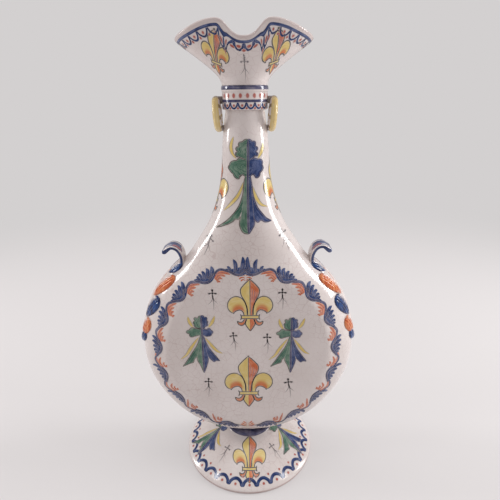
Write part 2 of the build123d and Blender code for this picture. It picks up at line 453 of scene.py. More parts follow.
def glaze_tone_recipe() -> GroupRecipe:
    """White tin glaze: clouding, thin places where the clay tints it (on the mouth's lip also painted shade),
    fine crackle and pinholes.

    Returns:
        The group, with the glaze's colour and height.
    """
    cloud_scale, grain_scale, wear_scale, warp_scale = 22.0, 160.0, 60.0, 95.0
    crackle_scale, patch_scale, speck_scale = 195.0, 30.0, 210.0
    wave_scale, orange_peel_scale = 45.0, 260.0
    cloud_share, grain_share, crackle_share, pinhole_share = 0.62, 0.12, 0.30, 0.35
    orange_peel_height, crackle_depth = 0.10, 0.05
    warp_reach = (4 * MM, 4 * MM, 4 * MM)
    recipe = GroupRecipe(
        "glaze_tone",
        [("Place", "Vector"), ("Thin", "Float"), ("White", "Color"), ("Cloud", "Color"), ("Clay", "Color")],
        [("Color", "Color"), ("Height", "Float")],
    )
    wiring, given = recipe.wiring, recipe.inputs
    place = given["Place"]
    cloud = wiring.ease(wiring.noise(place, cloud_scale, 3.0), 0.35, 0.70)
    grain = wiring.ease(wiring.noise(place, grain_scale), 0.30, 0.75)
    white = wiring.mix(wiring.math("MULTIPLY", cloud, cloud_share), given["White"], given["Cloud"])
    white = wiring.mix(wiring.math("MULTIPLY", grain, grain_share), white, given["Cloud"])
    wear = wiring.ease(wiring.noise(place, wear_scale, 3.0), 0.2, 0.8, 0.55, 1.0)
    white = wiring.mix(wiring.math("MULTIPLY", given["Thin"], wear), white, given["Clay"])
    shift = wiring.texture("Noise", place, warp_scale).outputs["Color"]
    warped = wiring.fed("ShaderNodeVectorMath", shift, warp_reach, place, operation="MULTIPLY_ADD").outputs[0]
    cells = wiring.texture("Voronoi", warped, crackle_scale, feature="DISTANCE_TO_EDGE")
    crackle = wiring.ease(cells.outputs["Distance"], 0.010, 0.045, 1.0, 0.0)
    patches = wiring.ease(wiring.noise(place, patch_scale, 1.0), 0.35, 0.6, 0.25, 1.0)
    crackle = wiring.math("MULTIPLY", crackle, patches)
    specks = wiring.texture("Voronoi", place, speck_scale, feature="F1")
    pinholes = wiring.ease(specks.outputs["Distance"], 0.05, 0.10, 1.0, 0.0)
    pinholes = wiring.math("MULTIPLY", pinholes, pinhole_share)
    lines = wiring.math("ADD", wiring.math("MULTIPLY", crackle, crackle_share), pinholes, clamp=True)
    wiring.feed(recipe.outputs["Color"], wiring.mix(lines, white, given["Clay"]))
    orange_peel = wiring.math("MULTIPLY", wiring.noise(place, orange_peel_scale), orange_peel_height)
    height = wiring.math("ADD", wiring.noise(place, wave_scale), orange_peel)
    height = wiring.math("SUBTRACT", height, wiring.math("MULTIPLY", crackle, crackle_depth))
    wiring.feed(recipe.outputs["Height"], height)
    return recipe


def brushwork_recipe() -> GroupRecipe:
    """Thin colour laid with a loaded brush on the raw glaze: streaks along the stroke, pale soft edges.

    Returns:
        The group, with the colour of the painted glaze.
    """
    along_scale, across_scale, pool_scale = 60.0, 900.0, 190.0
    pool_share, lost_share = 0.30, 0.45
    recipe = GroupRecipe(
        "brushwork",
        [
            ("Stroke", "Vector"), ("Place", "Vector"), ("Wash", "Float"), ("Ground", "Color"),
            ("Thin", "Color"), ("Deep", "Color"), ("Second", "Color"), ("Strength", "Float"),
            ("Streak", "Float"), ("Softness", "Float"),
        ],
        [("Color", "Color")],
    )
    wiring, given = recipe.wiring, recipe.inputs
    along, across, edge = wiring.fed("ShaderNodeSeparateXYZ", given["Stroke"]).outputs
    hairs = [wiring.math("MULTIPLY", along, along_scale), wiring.math("MULTIPLY", across, across_scale)]
    comb = wiring.fed("ShaderNodeCombineXYZ", *hairs).outputs[0]
    streaks = wiring.ease(wiring.noise(comb, 1.0), 0.32, 0.68)
    pools = wiring.ease(wiring.noise(given["Place"], pool_scale), 0.30, 0.72)
    near = wiring.math("MINIMUM", edge, wiring.math("SUBTRACT", 1.0, edge))
    fade = wiring.math("DIVIDE", near, given["Softness"], clamp=True)
    pooled = wiring.math("MULTIPLY", pools, pool_share)
    hue = wiring.math("ADD", wiring.math("MULTIPLY", streaks, given["Streak"]), pooled, clamp=True)
    paint = wiring.mix(hue, given["Deep"], given["Thin"])
    paint = wiring.mix(given["Wash"], paint, given["Second"])
    lost = wiring.math("MULTIPLY", wiring.math("MULTIPLY", streaks, pools), given["Streak"])
    cover = wiring.math("SUBTRACT", given["Strength"], wiring.math("MULTIPLY", lost, lost_share), clamp=True)
    cover = wiring.math("MULTIPLY", cover, fade)
    wiring.feed(recipe.outputs["Color"], wiring.mix(cover, given["Ground"], paint))
    return recipe


@dataclass(frozen=True)
class Pigment:
    """A painted colour, from its thin to its deep tone, and the colour that may be washed over it."""

    thin: Colour3
    deep: Colour3
    second: Colour3
    strength: float = 0.95
    streak: float = 0.6
    softness: float = 0.10


class Paint(Enum):
    """The colours of the painter's palette."""

    COBALT = Pigment(
        tone(36, 80, 144), tone(5, 26, 76), tone(196, 84, 44), strength=1.0, streak=0.45, softness=0.05
    )
    GREEN = Pigment(
        tone(112, 148, 124), tone(36, 84, 68), tone(40, 80, 66), strength=1.0, streak=0.5, softness=0.05
    )
    YELLOW = Pigment(
        tone(226, 206, 140), tone(208, 180, 98), tone(194, 92, 40), strength=1.0, streak=0.4, softness=0.05
    )
    STRAW = Pigment(tone(226, 206, 142), tone(204, 176, 108), tone(84, 62, 58), streak=0.5)
    ORANGE = Pigment(
        tone(222, 142, 90), tone(188, 84, 38), tone(160, 52, 30), strength=1.0, streak=0.5, softness=0.05
    )
    RED = Pigment(tone(180, 84, 62), tone(150, 52, 38), tone(120, 30, 24), softness=0.2)
    OLIVE = Pigment(tone(66, 66, 48), tone(34, 36, 30), tone(30, 30, 40), softness=0.2)
    INK = Pigment(tone(64, 62, 74), tone(36, 34, 46), tone(20, 20, 30), strength=0.85, softness=0.3)
    NAVY = Pigment(tone(14, 30, 100), tone(5, 12, 60), tone(12, 16, 40))


@dataclass
class Finishes:
    """Every material of the flask, made on first use."""

    white: Colour3 = tone(218, 209, 206)
    cloud: Colour3 = tone(205, 194, 190)
    clay: Colour3 = tone(168, 138, 134)
    roughness: float = 0.13
    bump: float = 0.5
    bump_distance: float = 0.35 * MM
    made: dict[str, Material] = field(default_factory=dict)

    def __post_init__(self) -> None:
        """Builds the two groups."""
        self.glaze_group = glaze_tone_recipe()
        self.brush_group = brushwork_recipe()

    def start(
        self, name: str, tones: tuple[Colour3, Colour3, Colour3] | None = None
    ) -> tuple[Material, Wiring, Node, Node, Socket]:
        """A glossy material with the glaze's tone and bump in place.

        Args:
            name: the material's name.
            tones: its white, cloud and clay tones, if they aren't the flask's own.

        Returns:
            The material, its wiring, the shader, the glaze group's node and the place output.
        """
        white, cloud, clay = tones or (self.white, self.cloud, self.clay)
        material, wiring, shader = blank_material(name)
        shader.inputs["Roughness"].default_value = self.roughness
        place = wiring.node("ShaderNodeTexCoord").outputs["Object"]
        # The thin mark tints the glaze towards the clay: thin glaze on the foot's bare rim, thin glaze and
        # painted shade on the mouth's lip.
        thin = wiring.mark("thin")
        glaze = self.glaze_group.placed(wiring, Place=place, Thin=thin, White=white, Cloud=cloud, Clay=clay)
        bump = wiring.node("ShaderNodeBump")
        bump.inputs["Strength"].default_value = self.bump
        bump.inputs["Distance"].default_value = self.bump_distance
        wiring.feed(bump.inputs["Height"], glaze.outputs["Height"])
        wiring.feed(shader.inputs["Normal"], bump.outputs[0])
        return material, wiring, shader, glaze, place

    def glaze(
        self, name: str = "tin_glaze", tones: tuple[Colour3, Colour3, Colour3] | None = None
    ) -> Material:
        """The bare glaze.

        Args:
            name: the material's name.
            tones: its white, cloud and clay tones, if they aren't the flask's own.

        Returns:
            The material.
        """
        if name not in self.made:
            material, wiring, shader, glaze, _ = self.start(name, tones)
            wiring.feed(shader.inputs["Base Color"], glaze.outputs["Color"])
            self.made[name] = material
        return self.made[name]

    def paint(self, paint: Paint) -> Material:
        """A painted colour over the glaze, read from the stroke and wash marks of the mesh.

        Args:
            paint: which colour.

        Returns:
            Its material.
        """
        name = f"{paint.name.lower()}_paint"
        if name not in self.made:
            material, wiring, shader, glaze, place = self.start(name)
            stroke = wiring.mark("stroke", "Vector")
            wash = wiring.mark("wash")
            pigment = paint.value
            brushed = self.brush_group.placed(
                wiring, Stroke=stroke, Place=place, Wash=wash, Ground=glaze.outputs["Color"],
                Thin=pigment.thin, Deep=pigment.deep, Second=pigment.second, Strength=pigment.strength,
                Streak=pigment.streak, Softness=pigment.softness,
            )
            wiring.feed(shader.inputs["Base Color"], brushed.outputs["Color"])
            self.made[name] = material
        return self.made[name]


# The glazed surfaces that the painting lies on

class Canvas:
    """A way to lay a flat drawing on a glazed surface."""

    nudge = 0.05 * MM

    def point(self, across: Array, up: Array) -> Array:
        """The surface's point for each place of the drawing."""
        raise NotImplementedError

    def lay(self, across: Array, up: Array, lift: float) -> tuple[Array, Array]:
        """Places drawing points a little above the surface.

        The normal is the cross product of the surface's slopes across and up,
        taken by small steps each way, turned to face away from the axis.

        Args:
            across: drawing coordinates.
            up: drawing coordinates, the same shape.
            lift: height above the surface.

        Returns:
            The raised points and the normals.
        """
        base = self.point(across, up)
        side = self.point(across + self.nudge, up) - self.point(across - self.nudge, up)
        rise = self.point(across, up + self.nudge) - self.point(across, up - self.nudge)
        normal = unit(np.cross(side, rise))
        facing = (normal[..., :2] * base[..., :2]).sum(axis=-1)
        normal *= np.where(facing.mean() < 0, -1.0, 1.0)
        return base + normal * lift, normal


class Skin:
    """A closed glazed surface: a point for each angle from the front and each height share."""

    def at(self, angle: Array, share: Array) -> Array:
        """The surface's point."""
        raise NotImplementedError


class MeridianCanvas(Canvas):
    """A drawing hung on one meridian of a skin: up follows the meridian, across goes round."""

    samples = 400

    def __init__(self, skin: Skin, angle: float, span: Pair = (0.0, 1.0)) -> None:
        """Measures the meridian.

        Args:
            skin: the surface.
            angle: the meridian's angle from the front.
            span: height shares of its foot and head.
        """
        self.skin, self.angle = skin, angle
        self.shares = np.linspace(*span, self.samples)
        line = skin.at(np.full(self.samples, angle), self.shares)
        self.reach = run_along(line)
        nudge = 0.01
        after, before = (skin.at(np.full(self.samples, angle + way), self.shares) for way in (nudge, -nudge))
        self.girth = np.linalg.norm(after - before, axis=1) / (2 * nudge)

    def point(self, across: Array, up: Array) -> Array:
        """Up is the length along the meridian and across is the length round at that height."""
        share = np.interp(up, self.reach, self.shares)
        girth = np.interp(up, self.reach, self.girth)
        return self.skin.at(self.angle + across / girth, share)


class HoopCanvas(Canvas):
    """A drawing hung on a hoop round a skin: across runs along the hoop, up rises from it square to it."""

    samples = 2881
    turn_step = 0.004
    climb_step = 0.002

    def __init__(self, skin: Skin, share: float, smoothing: float = 0.0) -> None:
        """Measures the hoop and the direction square to it in the skin.

        Args:
            skin: the surface.
            share: the height share that the hoop runs at.
            smoothing: length over which the direction is evened out.
        """
        self.skin, self.share = skin, share
        self.inward = self.climb_step if share < 0.5 else -self.climb_step
        self.angles = np.linspace(-math.pi, math.pi, self.samples)
        line = skin.at(self.angles, np.full(self.angles.shape, share))
        steps = np.linalg.norm(np.diff(line, axis=0), axis=1)
        self.reach = np.concatenate([[0.0], np.cumsum(steps)])
        self.reach -= self.reach[-1] / 2
        self.length = 2 * self.reach[-1]
        round_way, rise_way = self._slopes(self.angles)
        normal = np.cross(round_way, rise_way)
        square = unit(np.cross(normal, np.gradient(line, axis=0)))
        spread = max(1, int(smoothing / steps.mean()))
        kernel = np.hanning(2 * spread + 1)
        padded = np.concatenate([square[-spread - 1:-1], square, square[1:spread + 1]])
        kernel /= kernel.sum()
        self.square = np.stack([np.convolve(padded[:, k], kernel, "valid") for k in range(3)], axis=1)

    def _slopes(self, angle: Array) -> tuple[Array, Array]:
        """The skin's slopes round and up the share at the hoop."""
        share = np.full(np.shape(angle), self.share)
        after, before = (self.skin.at(angle + way, share) for way in (self.turn_step, -self.turn_step))
        round_way = (after - before) / (2 * self.turn_step)
        rise_way = (self.skin.at(angle, share + self.inward) - self.skin.at(angle, share)) / self.inward
        return round_way, rise_way

    def point(self, across: Array, up: Array) -> Array:
        """The skin's angle and share that move the hoop's point by up along its square direction."""
        along = (across + self.length / 2) % self.length - self.length / 2
        angle = np.interp(along, self.reach, self.angles)
        wanted = np.stack([np.interp(along, self.reach, self.square[:, k]) for k in range(3)], axis=-1)
        round_way, rise_way = self._slopes(angle)
        rr, uu = (round_way * round_way).sum(-1), (rise_way * rise_way).sum(-1)
        ru = (round_way * rise_way).sum(-1)
        right, left = (wanted * round_way).sum(-1), (wanted * rise_way).sum(-1)
        scale = up / (rr * uu - ru * ru)
        turn, climb = scale * (right * uu - left * ru), scale * (left * rr - right * ru)
        return self.skin.at(angle + turn, self.share + climb)


@dataclass
class BodySkin(Skin):
    """Outer skin of the flattened body and the neck that grows out of it.

    Each level is an ellipse of half width and half depth, flattened at front and
    back where it passes the plane of the round panels. Sizes come from the frame.
    """

    half_width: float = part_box("body_front")[1].x
    base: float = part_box("body_front")[0].z
    shoulder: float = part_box("body_front")[1].z
    panel: float = -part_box("body_front")[0].y
    top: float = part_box("neck")[1].z
    neck_radius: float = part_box("neck")[1].x
    full_depth: float = 43.7 * MM
    panel_ease: float = 1.3 * MM
    levels: tuple[Triple, ...] = (
        (0.000, 0.254, 0.355), (0.025, 0.449, 0.503), (0.065, 0.629, 0.636), (0.133, 0.788, 0.746),
        (0.223, 0.915, 0.870), (0.336, 0.993, 0.963), (0.449, 0.997, 0.998), (0.562, 0.933, 0.977),
        (0.652, 0.835, 0.902), (0.720, 0.701, 0.801), (0.774, 0.566, 0.682), (0.837, 0.455, 0.632),
        (0.910, 0.345, 0.604), (0.955, 0.294, 0.584),
    )
    neck_levels: tuple[Pair, ...] = (
        (0.0, 1.0), (0.13, 0.880), (0.28, 0.793), (0.655, 0.685), (0.80, 0.606), (1.0, 0.606)
    )

    def __post_init__(self) -> None:
        """Draws the width and depth curves over the height."""
        body, neck = self.shoulder - self.base, self.top - self.shoulder
        heights = [self.base + body * share for share, _, _ in self.levels]
        widths = [self.half_width * share for _, share, _ in self.levels]
        depths = [self.full_depth * share for _, _, share in self.levels]
        for share, radius in self.neck_levels:
            heights.append(self.shoulder + neck * share)
            widths.append(self.neck_radius * radius)
            depths.append(self.neck_radius * radius)
        self.width = Spline(heights, widths)
        self.depth = Spline(heights, depths)

    def flattened(self, depth: Array) -> Array:
        """Depths held at the panel's plane, with a rounded run into it."""
        share = np.clip(0.5 + 0.5 * (self.panel - depth) / self.panel_ease, 0, 1)
        return self.panel * (1 - share) + depth * share - self.panel_ease * share * (1 - share)

    def ring(self, angle: Array, height: Array, inset: Array) -> Array:
        """Point of the level at a height, drawn in by the inset.

        Args:
            angle: angle from the front, towards +X.
            height: height above the floor.
            inset: distance inside the outer skin.

        Returns:
            The points.
        """
        depth = (self.depth(height) - inset) * np.cos(angle)
        held = self.flattened(np.abs(depth) + inset) - inset
        across = (self.width(height) - inset) * np.sin(angle)
        return np.stack([across, -np.sign(depth) * held, height], axis=-1)

    def at(self, angle: Array, share: Array) -> Array:
        """Point of the outer skin, the share running from the base to the neck's top."""
        return self.ring(angle, self.base + (self.top - self.base) * share, np.zeros(np.shape(share)))


class FacingCanvas(Canvas):
    """A drawing seen square on from one side of a skin of level ellipses: across is level, up is height."""

    def __init__(self, skin: "BodySkin | MouthSkin", facing: float) -> None:
        """Keeps the skin and the angle from the front at which it is looked at."""
        self.skin, self.facing = skin, facing

    def point(self, across: Array, up: Array) -> Array:
        """Each level, seen from the side, is a reach times the sine of its angle less a shift."""
        wide = self.skin.width(up) * math.cos(self.facing)
        deep = self.skin.depth(up) * math.sin(self.facing)
        angle = np.arctan2(deep, wide) + np.arcsin(np.clip(across / np.hypot(wide, deep), -1, 1))
        return self.skin.ring(angle, up, 0.0 * up)


@dataclass
class MouthSkin(Skin):
    """Outer skin of the mouth: widening ellipses cut off by the rim's outline as seen from the front."""

    base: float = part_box("mouth")[0].z
    foot_radius: float = 16.8 * MM
    height: float = 40.0 * MM
    trim: float = 2.0 * MM
    half_width: float = 61.0 * MM
    half_depth: float = 35.0 * MM
    levels: tuple[Triple, ...] = (
        (0.105, 0.297, 0.497), (0.231, 0.375, 0.563), (0.376, 0.500, 0.660),
        (0.567, 0.682, 0.786), (0.795, 0.876, 0.909), (1.000, 1.000, 1.000),
    )
    rim: tuple[Pair, ...] = (
        (0.000, 0.748), (0.090, 0.775), (0.162, 0.865), (0.218, 0.955), (0.287, 0.995), (0.381, 0.990),
        (0.508, 0.948), (0.639, 0.880), (0.770, 0.806), (0.861, 0.730), (0.959, 0.625),
    )
    halvings: int = 40

    def __post_init__(self) -> None:
        """Draws the width, depth and rim curves."""
        full = self.height + self.trim
        heights = [self.base] + [self.base + full * share for share, _, _ in self.levels]
        widths = [self.half_width * share for _, share, _ in self.levels]
        depths = [self.half_depth * share for _, _, share in self.levels]
        self.width = Spline(heights, [self.foot_radius, *widths])
        self.depth = Spline(heights, [self.foot_radius, *depths])
        right = [(self.half_width * x, self.base + self.height * z) for x, z in self.rim]
        outline = [(-x, z) for x, z in reversed(right[1:])] + right
        self.outline = Spline([x for x, _ in outline], [z for _, z in outline])

    def rim_height(self, angle: Array, inset: float) -> Array:
        """Height at which each meridian meets the rim's outline, found by halving the interval.

        Args:
            angle: angle from the front.
            inset: distance inside the outer skin.

        Returns:
            The heights.
        """
        low = np.full(np.shape(angle), self.base)
        high = low + self.height + self.trim
        for _ in range(self.halvings):
            middle = (low + high) / 2
            under = middle < self.outline((self.width(middle) - inset) * np.sin(angle))
            low, high = np.where(under, middle, low), np.where(under, high, middle)
        return low

    def ring(self, angle: Array, height: Array, inset: Array) -> Array:
        """Point of the level at a height, drawn in by the inset."""
        return round_axis(self.width(height) - inset, self.depth(height) - inset, angle, height)

    def at(self, angle: Array, share: Array) -> Array:
        """Point of the outer skin, the share running from the seat to the rim."""
        top = self.rim_height(angle, 0.0)
        return self.ring(angle, self.base + (top - self.base) * share, 0.0)


@dataclass
class TurnedSkin(Skin):
    """Skin turned on the wheel: a profile of radius and height carried round the axis."""

    profile: Array

    def __post_init__(self) -> None:
        """Measures the profile."""
        self.reach = run_along(self.profile)
        self.length = float(self.reach[-1])
        self.reach /= self.length

    def at(self, angle: Array, share: Array) -> Array:
        """Point of the profile at a share of its length, turned to the angle."""
        radius = np.interp(share, self.reach, self.profile[:, 0])
        height = np.interp(share, self.reach, self.profile[:, 1])
        return round_axis(radius, radius, angle, height)


# Brush strokes

class Touch(Enum):
    """How a stroke's width runs from its start to its end, as a share of the full width."""

    EVEN = "even"
    POINTED = "pointed"
    DROP = "drop"
    LOBE = "lobe"
    FLICK = "flick"

    def widths(self, share: Array) -> Array:
        """The width at each share of the length."""
        ends = np.sqrt(np.clip(np.minimum(share, 1 - share) / 0.06, 0.02, 1))
        if self is Touch.EVEN:
            return ends
        if self is Touch.POINTED:
            return np.maximum(np.sin(np.pi * share) ** 0.75, 0.03)
        if self is Touch.DROP:
            return np.maximum((0.25 + 0.75 * share**0.9) * np.sqrt(np.clip(1 - share**7, 0, 1)), 0.03)
        if self is Touch.LOBE:
            swell = 0.55 + 0.45 * np.sin(np.pi * share)
            return np.maximum(swell * np.sqrt(np.clip(1 - share**6, 0, 1)), 0.03)
        return np.maximum((1 - share) ** 0.8 * ends, 0.04)


@dataclass(frozen=True)
class Placing:
    """Where and how large a motif is drawn on a canvas."""

    x: float = 0.0
    y: float = 0.0
    size: float = 1.0
    turn: float = 0.0
    breadth: float = 1.0

    def __call__(self, points: Points) -> Array:
        """Motif points as canvas points: scaled, drawn in or out across, turned, then moved."""
        given = np.array(points, float) * self.size
        given[:, 0] *= self.breadth
        return rotated(given, self.turn) + np.array([self.x, self.y])


class Brush:
    """Lays strokes, washes and dots on one canvas and makes one thin painted piece of them."""

    step = 0.9 * MM
    coat = 0.06 * MM
    layer_gap = 0.022 * MM
    stroke_weave = 0.8 * MM
    wash_weave = 1.6 * MM

    def __init__(self, canvas: Canvas) -> None:
        """Starts a piece on a canvas."""
        self.canvas = canvas
        self.parts = MeshParts()
        self.paints: list[Paint] = []

    def lay(
        self, across: Array, up: Array, paint: Paint, layer: float, edge: Array,
        wash: Array | float = 0.0, ring: bool = False,
    ) -> None:
        """Adds one grid of drawing points in a paint.

        Args:
            across: rows along the stroke by columns across it.
            up: the same.
            paint: its colour.
            layer: how many coats it lies above the first.
            edge: place across the stroke, 0 and 1 at its edges.
            wash: share of the second colour.
            ring: whether the columns close on themselves.
        """
        if paint not in self.paints:
            self.paints.append(paint)
        points, normals = self.canvas.lay(across, up, self.coat + self.layer_gap * layer)
        along = np.linalg.norm(np.diff(points[:, :1], axis=0, prepend=points[:1, :1]), axis=-1).cumsum(axis=0)
        girth = np.linalg.norm(np.diff(points, axis=1, prepend=points[:, :1]), axis=-1).cumsum(axis=1)
        stroke = np.stack([along + 0 * girth, girth + 0.37 * layer, edge + 0 * girth], axis=-1)
        middle = len(points) // 2
        face = np.cross(points[middle + 1, 0] - points[middle, 0], points[middle, 1] - points[middle, 0])
        flip = float(face @ normals[middle, 0]) > 0
        self.parts.grid(
            points, round_trip=ring, normals=normals, slot=self.paints.index(paint), flip=flip,
            marks={"stroke": stroke, "wash": wash + 0 * girth},
        )

    def stroke(
        self, line: Array, width: float, paint: Paint, touch: Touch = Touch.EVEN, layer: float = 2
    ) -> None:
        """A brush stroke along a smooth line.

        Args:
            line: points in canvas lengths.
            width: its full width.
            paint: its colour.
            touch: how its width runs.
            layer: how many coats it lies above the first.
        """
        path = flow(line, self.step)
        heading = unit(np.gradient(path, axis=0))
        left = np.stack([-heading[:, 1], heading[:, 0]], axis=1)
        share = np.linspace(0, 1, len(path))
        half = width / 2 * touch.widths(share)
        edge = np.linspace(0, 1, 2 + int(width / self.stroke_weave) + 1)
        offset = (2 * edge - 1)[None] * half[:, None]
        across = path[:, :1] + left[:, :1] * offset
        up = path[:, 1:] + left[:, 1:] * offset
        self.lay(across, up, paint, layer, edge[None])

    def wash(
        self,
        first: Array,
        second: Array,
        paint: Paint,
        layer: float = 0,
        tint: Callable[[Array, Array], Array] | None = None,
    ) -> None:
        """Colour filled between two lines.

        Args:
            first: one edge.
            second: the other edge, running the same way.
            paint: its colour.
            layer: how many coats it lies above the first.
            tint: share of the second colour, from the shares along and across.
        """
        one, two = flow(first, self.step), flow(second, self.step)
        count = max(len(one), len(two))
        one = spaced(one, 1.0, count)
        two = spaced(two, 1.0, count)
        widest = np.linalg.norm(one - two, axis=1).max()
        edge = np.linspace(0, 1, 3 + int(widest / self.wash_weave))
        across = one[:, :1] * (1 - edge) + two[:, :1] * edge
        up = one[:, 1:] * (1 - edge) + two[:, 1:] * edge
        share = np.linspace(0, 1, count)[:, None]
        self.lay(across, up, paint, layer, edge[None], tint(share, edge[None]) if tint else 0.0)

    def dot(
        self, place: Points, radius: float, paint: Paint, squash: float = 1.0, turn: float = 0.0,
        layer: float = 2,
    ) -> None:
        """A round or oval dab.

        Args:
            place: its middle, as one point in a list.
            radius: its half length.
            paint: its colour.
            squash: its breadth as a share of its length.
            turn: the angle of its length.
            layer: how many coats it lies above the first.
        """
        angle = full_turn(12)
        shape = rotated(np.stack([radius * np.cos(angle), squash * radius * np.sin(angle)], axis=1), turn)
        centre = np.asarray(place, float).reshape(1, 2)
        share = np.array([1.0, 0.66, 0.33, 0.02])[:, None]
        across = centre[:, :1] + share * shape[:, 0]
        up = centre[:, 1:] + share * shape[:, 1]
        self.lay(across, up, paint, layer, (1 - share) / 2, ring=True)

    def band(
        self, length: float, high: float, low: float, paint: Paint, layer: float,
        rows: int = 241, columns: int = 9, margin: float = 0.08,
    ) -> None:
        """A painted band all the way round a hoop, between two levels.

        Args:
            length: the hoop's length.
            high: its upper level.
            low: its lower level.
            paint: its colour.
            layer: how many coats it lies above the first.
            rows: places along it.
            columns: places across it.
            margin: how far inside the stroke's soft edge its edges lie.
        """
        along = np.linspace(0, length, rows)[:, None]
        edge = np.linspace(0, 1, columns)[None]
        level = high + (low - high) * edge
        self.lay(along + 0 * edge, level + 0 * along, paint, layer, margin + (1 - 2 * margin) * edge)

    def piece(self, name: str, finishes: Finishes) -> Piece:
        """The painted piece, settled on the flask."""
        made = self.parts.build(name, [finishes.paint(paint) for paint in self.paints])
        return settle(made, "tin_glaze")


def paint_piece(finishes: Finishes, canvas: Canvas, name: str, motif: "Motif", *places: Placing) -> None:
    """Draws a motif at each place on a canvas, as one piece.

    Args:
        finishes: the flask's materials.
        canvas: what it is drawn on.
        name: the piece's name.
        motif: what is drawn.
        places: where and how large.
    """
    brush = Brush(canvas)
    for place in places:
        motif.paint(brush, place)
    brush.piece(name, finishes)


# Painted motifs, drawn about their middle in shares of their height

@dataclass(frozen=True)
class FleurDeLis:
    """Three petals bound by a bar, yellow with orange in the hollows, outlined in olive."""

    line: float = 1.0 * MM
    axis: Points = ((0, .72), (0, .5), (0, .25), (0, .03))
    spine: Points = ((0, -.035), (0, -.13), (0, -.2), (0, -.28))
    streaks: tuple[float, ...] = (0.035, 0.075, 0.110)
    petal: Points = (
        (0, .72), (-.055, .665), (-.105, .61), (-.158, .53), (-.150, .43), (-.098, .32), (-.055, .19),
        (-.040, .03),
    )
    curl_out: Points = (
        (-.052, .03), (-.058, .19), (-.097, .305), (-.155, .372), (-.240, .398), (-.325, .362),
        (-.378, .275), (-.380, .18), (-.340, .11), (-.285, .075),
    )
    curl_in: Points = (
        (-.105, .03), (-.120, .095), (-.165, .138), (-.220, .130), (-.262, .105), (-.285, .075)
    )
    hook_out: Points = ((-.225, -.075), (-.205, -.140), (-.150, -.168), (-.100, -.135), (-.068, -.035))
    hook_in: Points = ((-.225, -.075), (-.190, -.098), (-.150, -.100), (-.118, -.075), (-.100, -.035))
    point_left: Points = ((-.058, -.035), (-.085, -.130), (-.050, -.205), (0, -.280))
    bar_half: float = 0.155
    bar_high: float = 0.030

    def paint(self, brush: Brush, place: Placing) -> None:
        """Draws it.

        Args:
            brush: the brush.
            place: where its bar's middle lies, and its height as the size.
        """
        axis, spine = self.axis, self.spine
        brush.wash(place(self.petal), place(axis), Paint.YELLOW)
        brush.wash(place(self._flipped(self.petal)), place(axis), Paint.ORANGE)
        brush.wash(place(self.point_left), place(spine), Paint.YELLOW)
        brush.wash(place(self._flipped(self.point_left)), place(spine), Paint.ORANGE)
        for side in (1, -1):
            turned = self._side(side)
            curl, hook = (self.curl_in, self.curl_out), (self.hook_in, self.hook_out)
            brush.wash(*(place(turned(line)) for line in curl), Paint.YELLOW, tint=self._blush)
            brush.wash(*(place(turned(line)) for line in hook), Paint.ORANGE)
            for edge in (self.petal, *reversed(curl), *reversed(hook), self.point_left):
                brush.stroke(place(turned(edge)), self.line, Paint.OLIVE)
            brush.dot(place(turned([(-.285, .080)])), 0.9 * self.line, Paint.OLIVE, layer=3)
        for streak in self.streaks:
            line = [(streak, .60 - streak), (streak * 1.1, .45), (streak * .7, .28)]
            brush.stroke(place(line), self.line, Paint.RED, Touch.POINTED, layer=1)
        brush.stroke(place(axis), 0.8 * self.line, Paint.OLIVE)
        brush.stroke(place(spine), 0.6 * self.line, Paint.ORANGE)
        brush.dot(place([(0, .715)]), 1.1 * self.line, Paint.OLIVE, layer=3)
        self._bar(brush, place)

    def _bar(self, brush: Brush, place: Placing) -> None:
        """The bar with its flared ends."""
        half, high = self.bar_half, self.bar_high
        upper, lower = ([(-half, level), (half, level)] for level in (high, -high))
        brush.wash(place(upper), place(lower), Paint.YELLOW, layer=3)
        for level in (high, -high):
            line = [(-half, level), (0, level * .9), (half, level)]
            brush.stroke(place(line), 0.9 * self.line, Paint.OLIVE, layer=4)
        for end in (-half, half):
            tick = [(end * 1.08, high * 2.0), (end * .97, 0), (end * 1.08, -high * 2.0)]
            brush.stroke(place(tick), 1.1 * self.line, Paint.OLIVE, layer=4)

    @staticmethod
    def _blush(along: Array, across: Array) -> Array:
        """Orange in the hollow of a curl: strongest along its inner edge, away from its root."""
        return 0.9 * smooth_step(along, 0.05, 0.35) * (1 - smooth_step(across, 0.20, 0.55))

    @staticmethod
    def _flipped(points: Points) -> Points:
        """The points on the other side of the axis."""
        return [(-x, y) for x, y in points]

    def _side(self, side: int) -> Callable[[Points], Points]:
        """Leaves points where they are, or flips them."""
        return self._flipped if side < 0 else list


@dataclass(frozen=True)
class LeafHalf:
    """Outlines of one half of an ermine leaf: its lobed head and arm, its wing and its tail."""

    head: Points
    arm: Points
    wing_out: Points
    wing_in: Points
    tail: Points


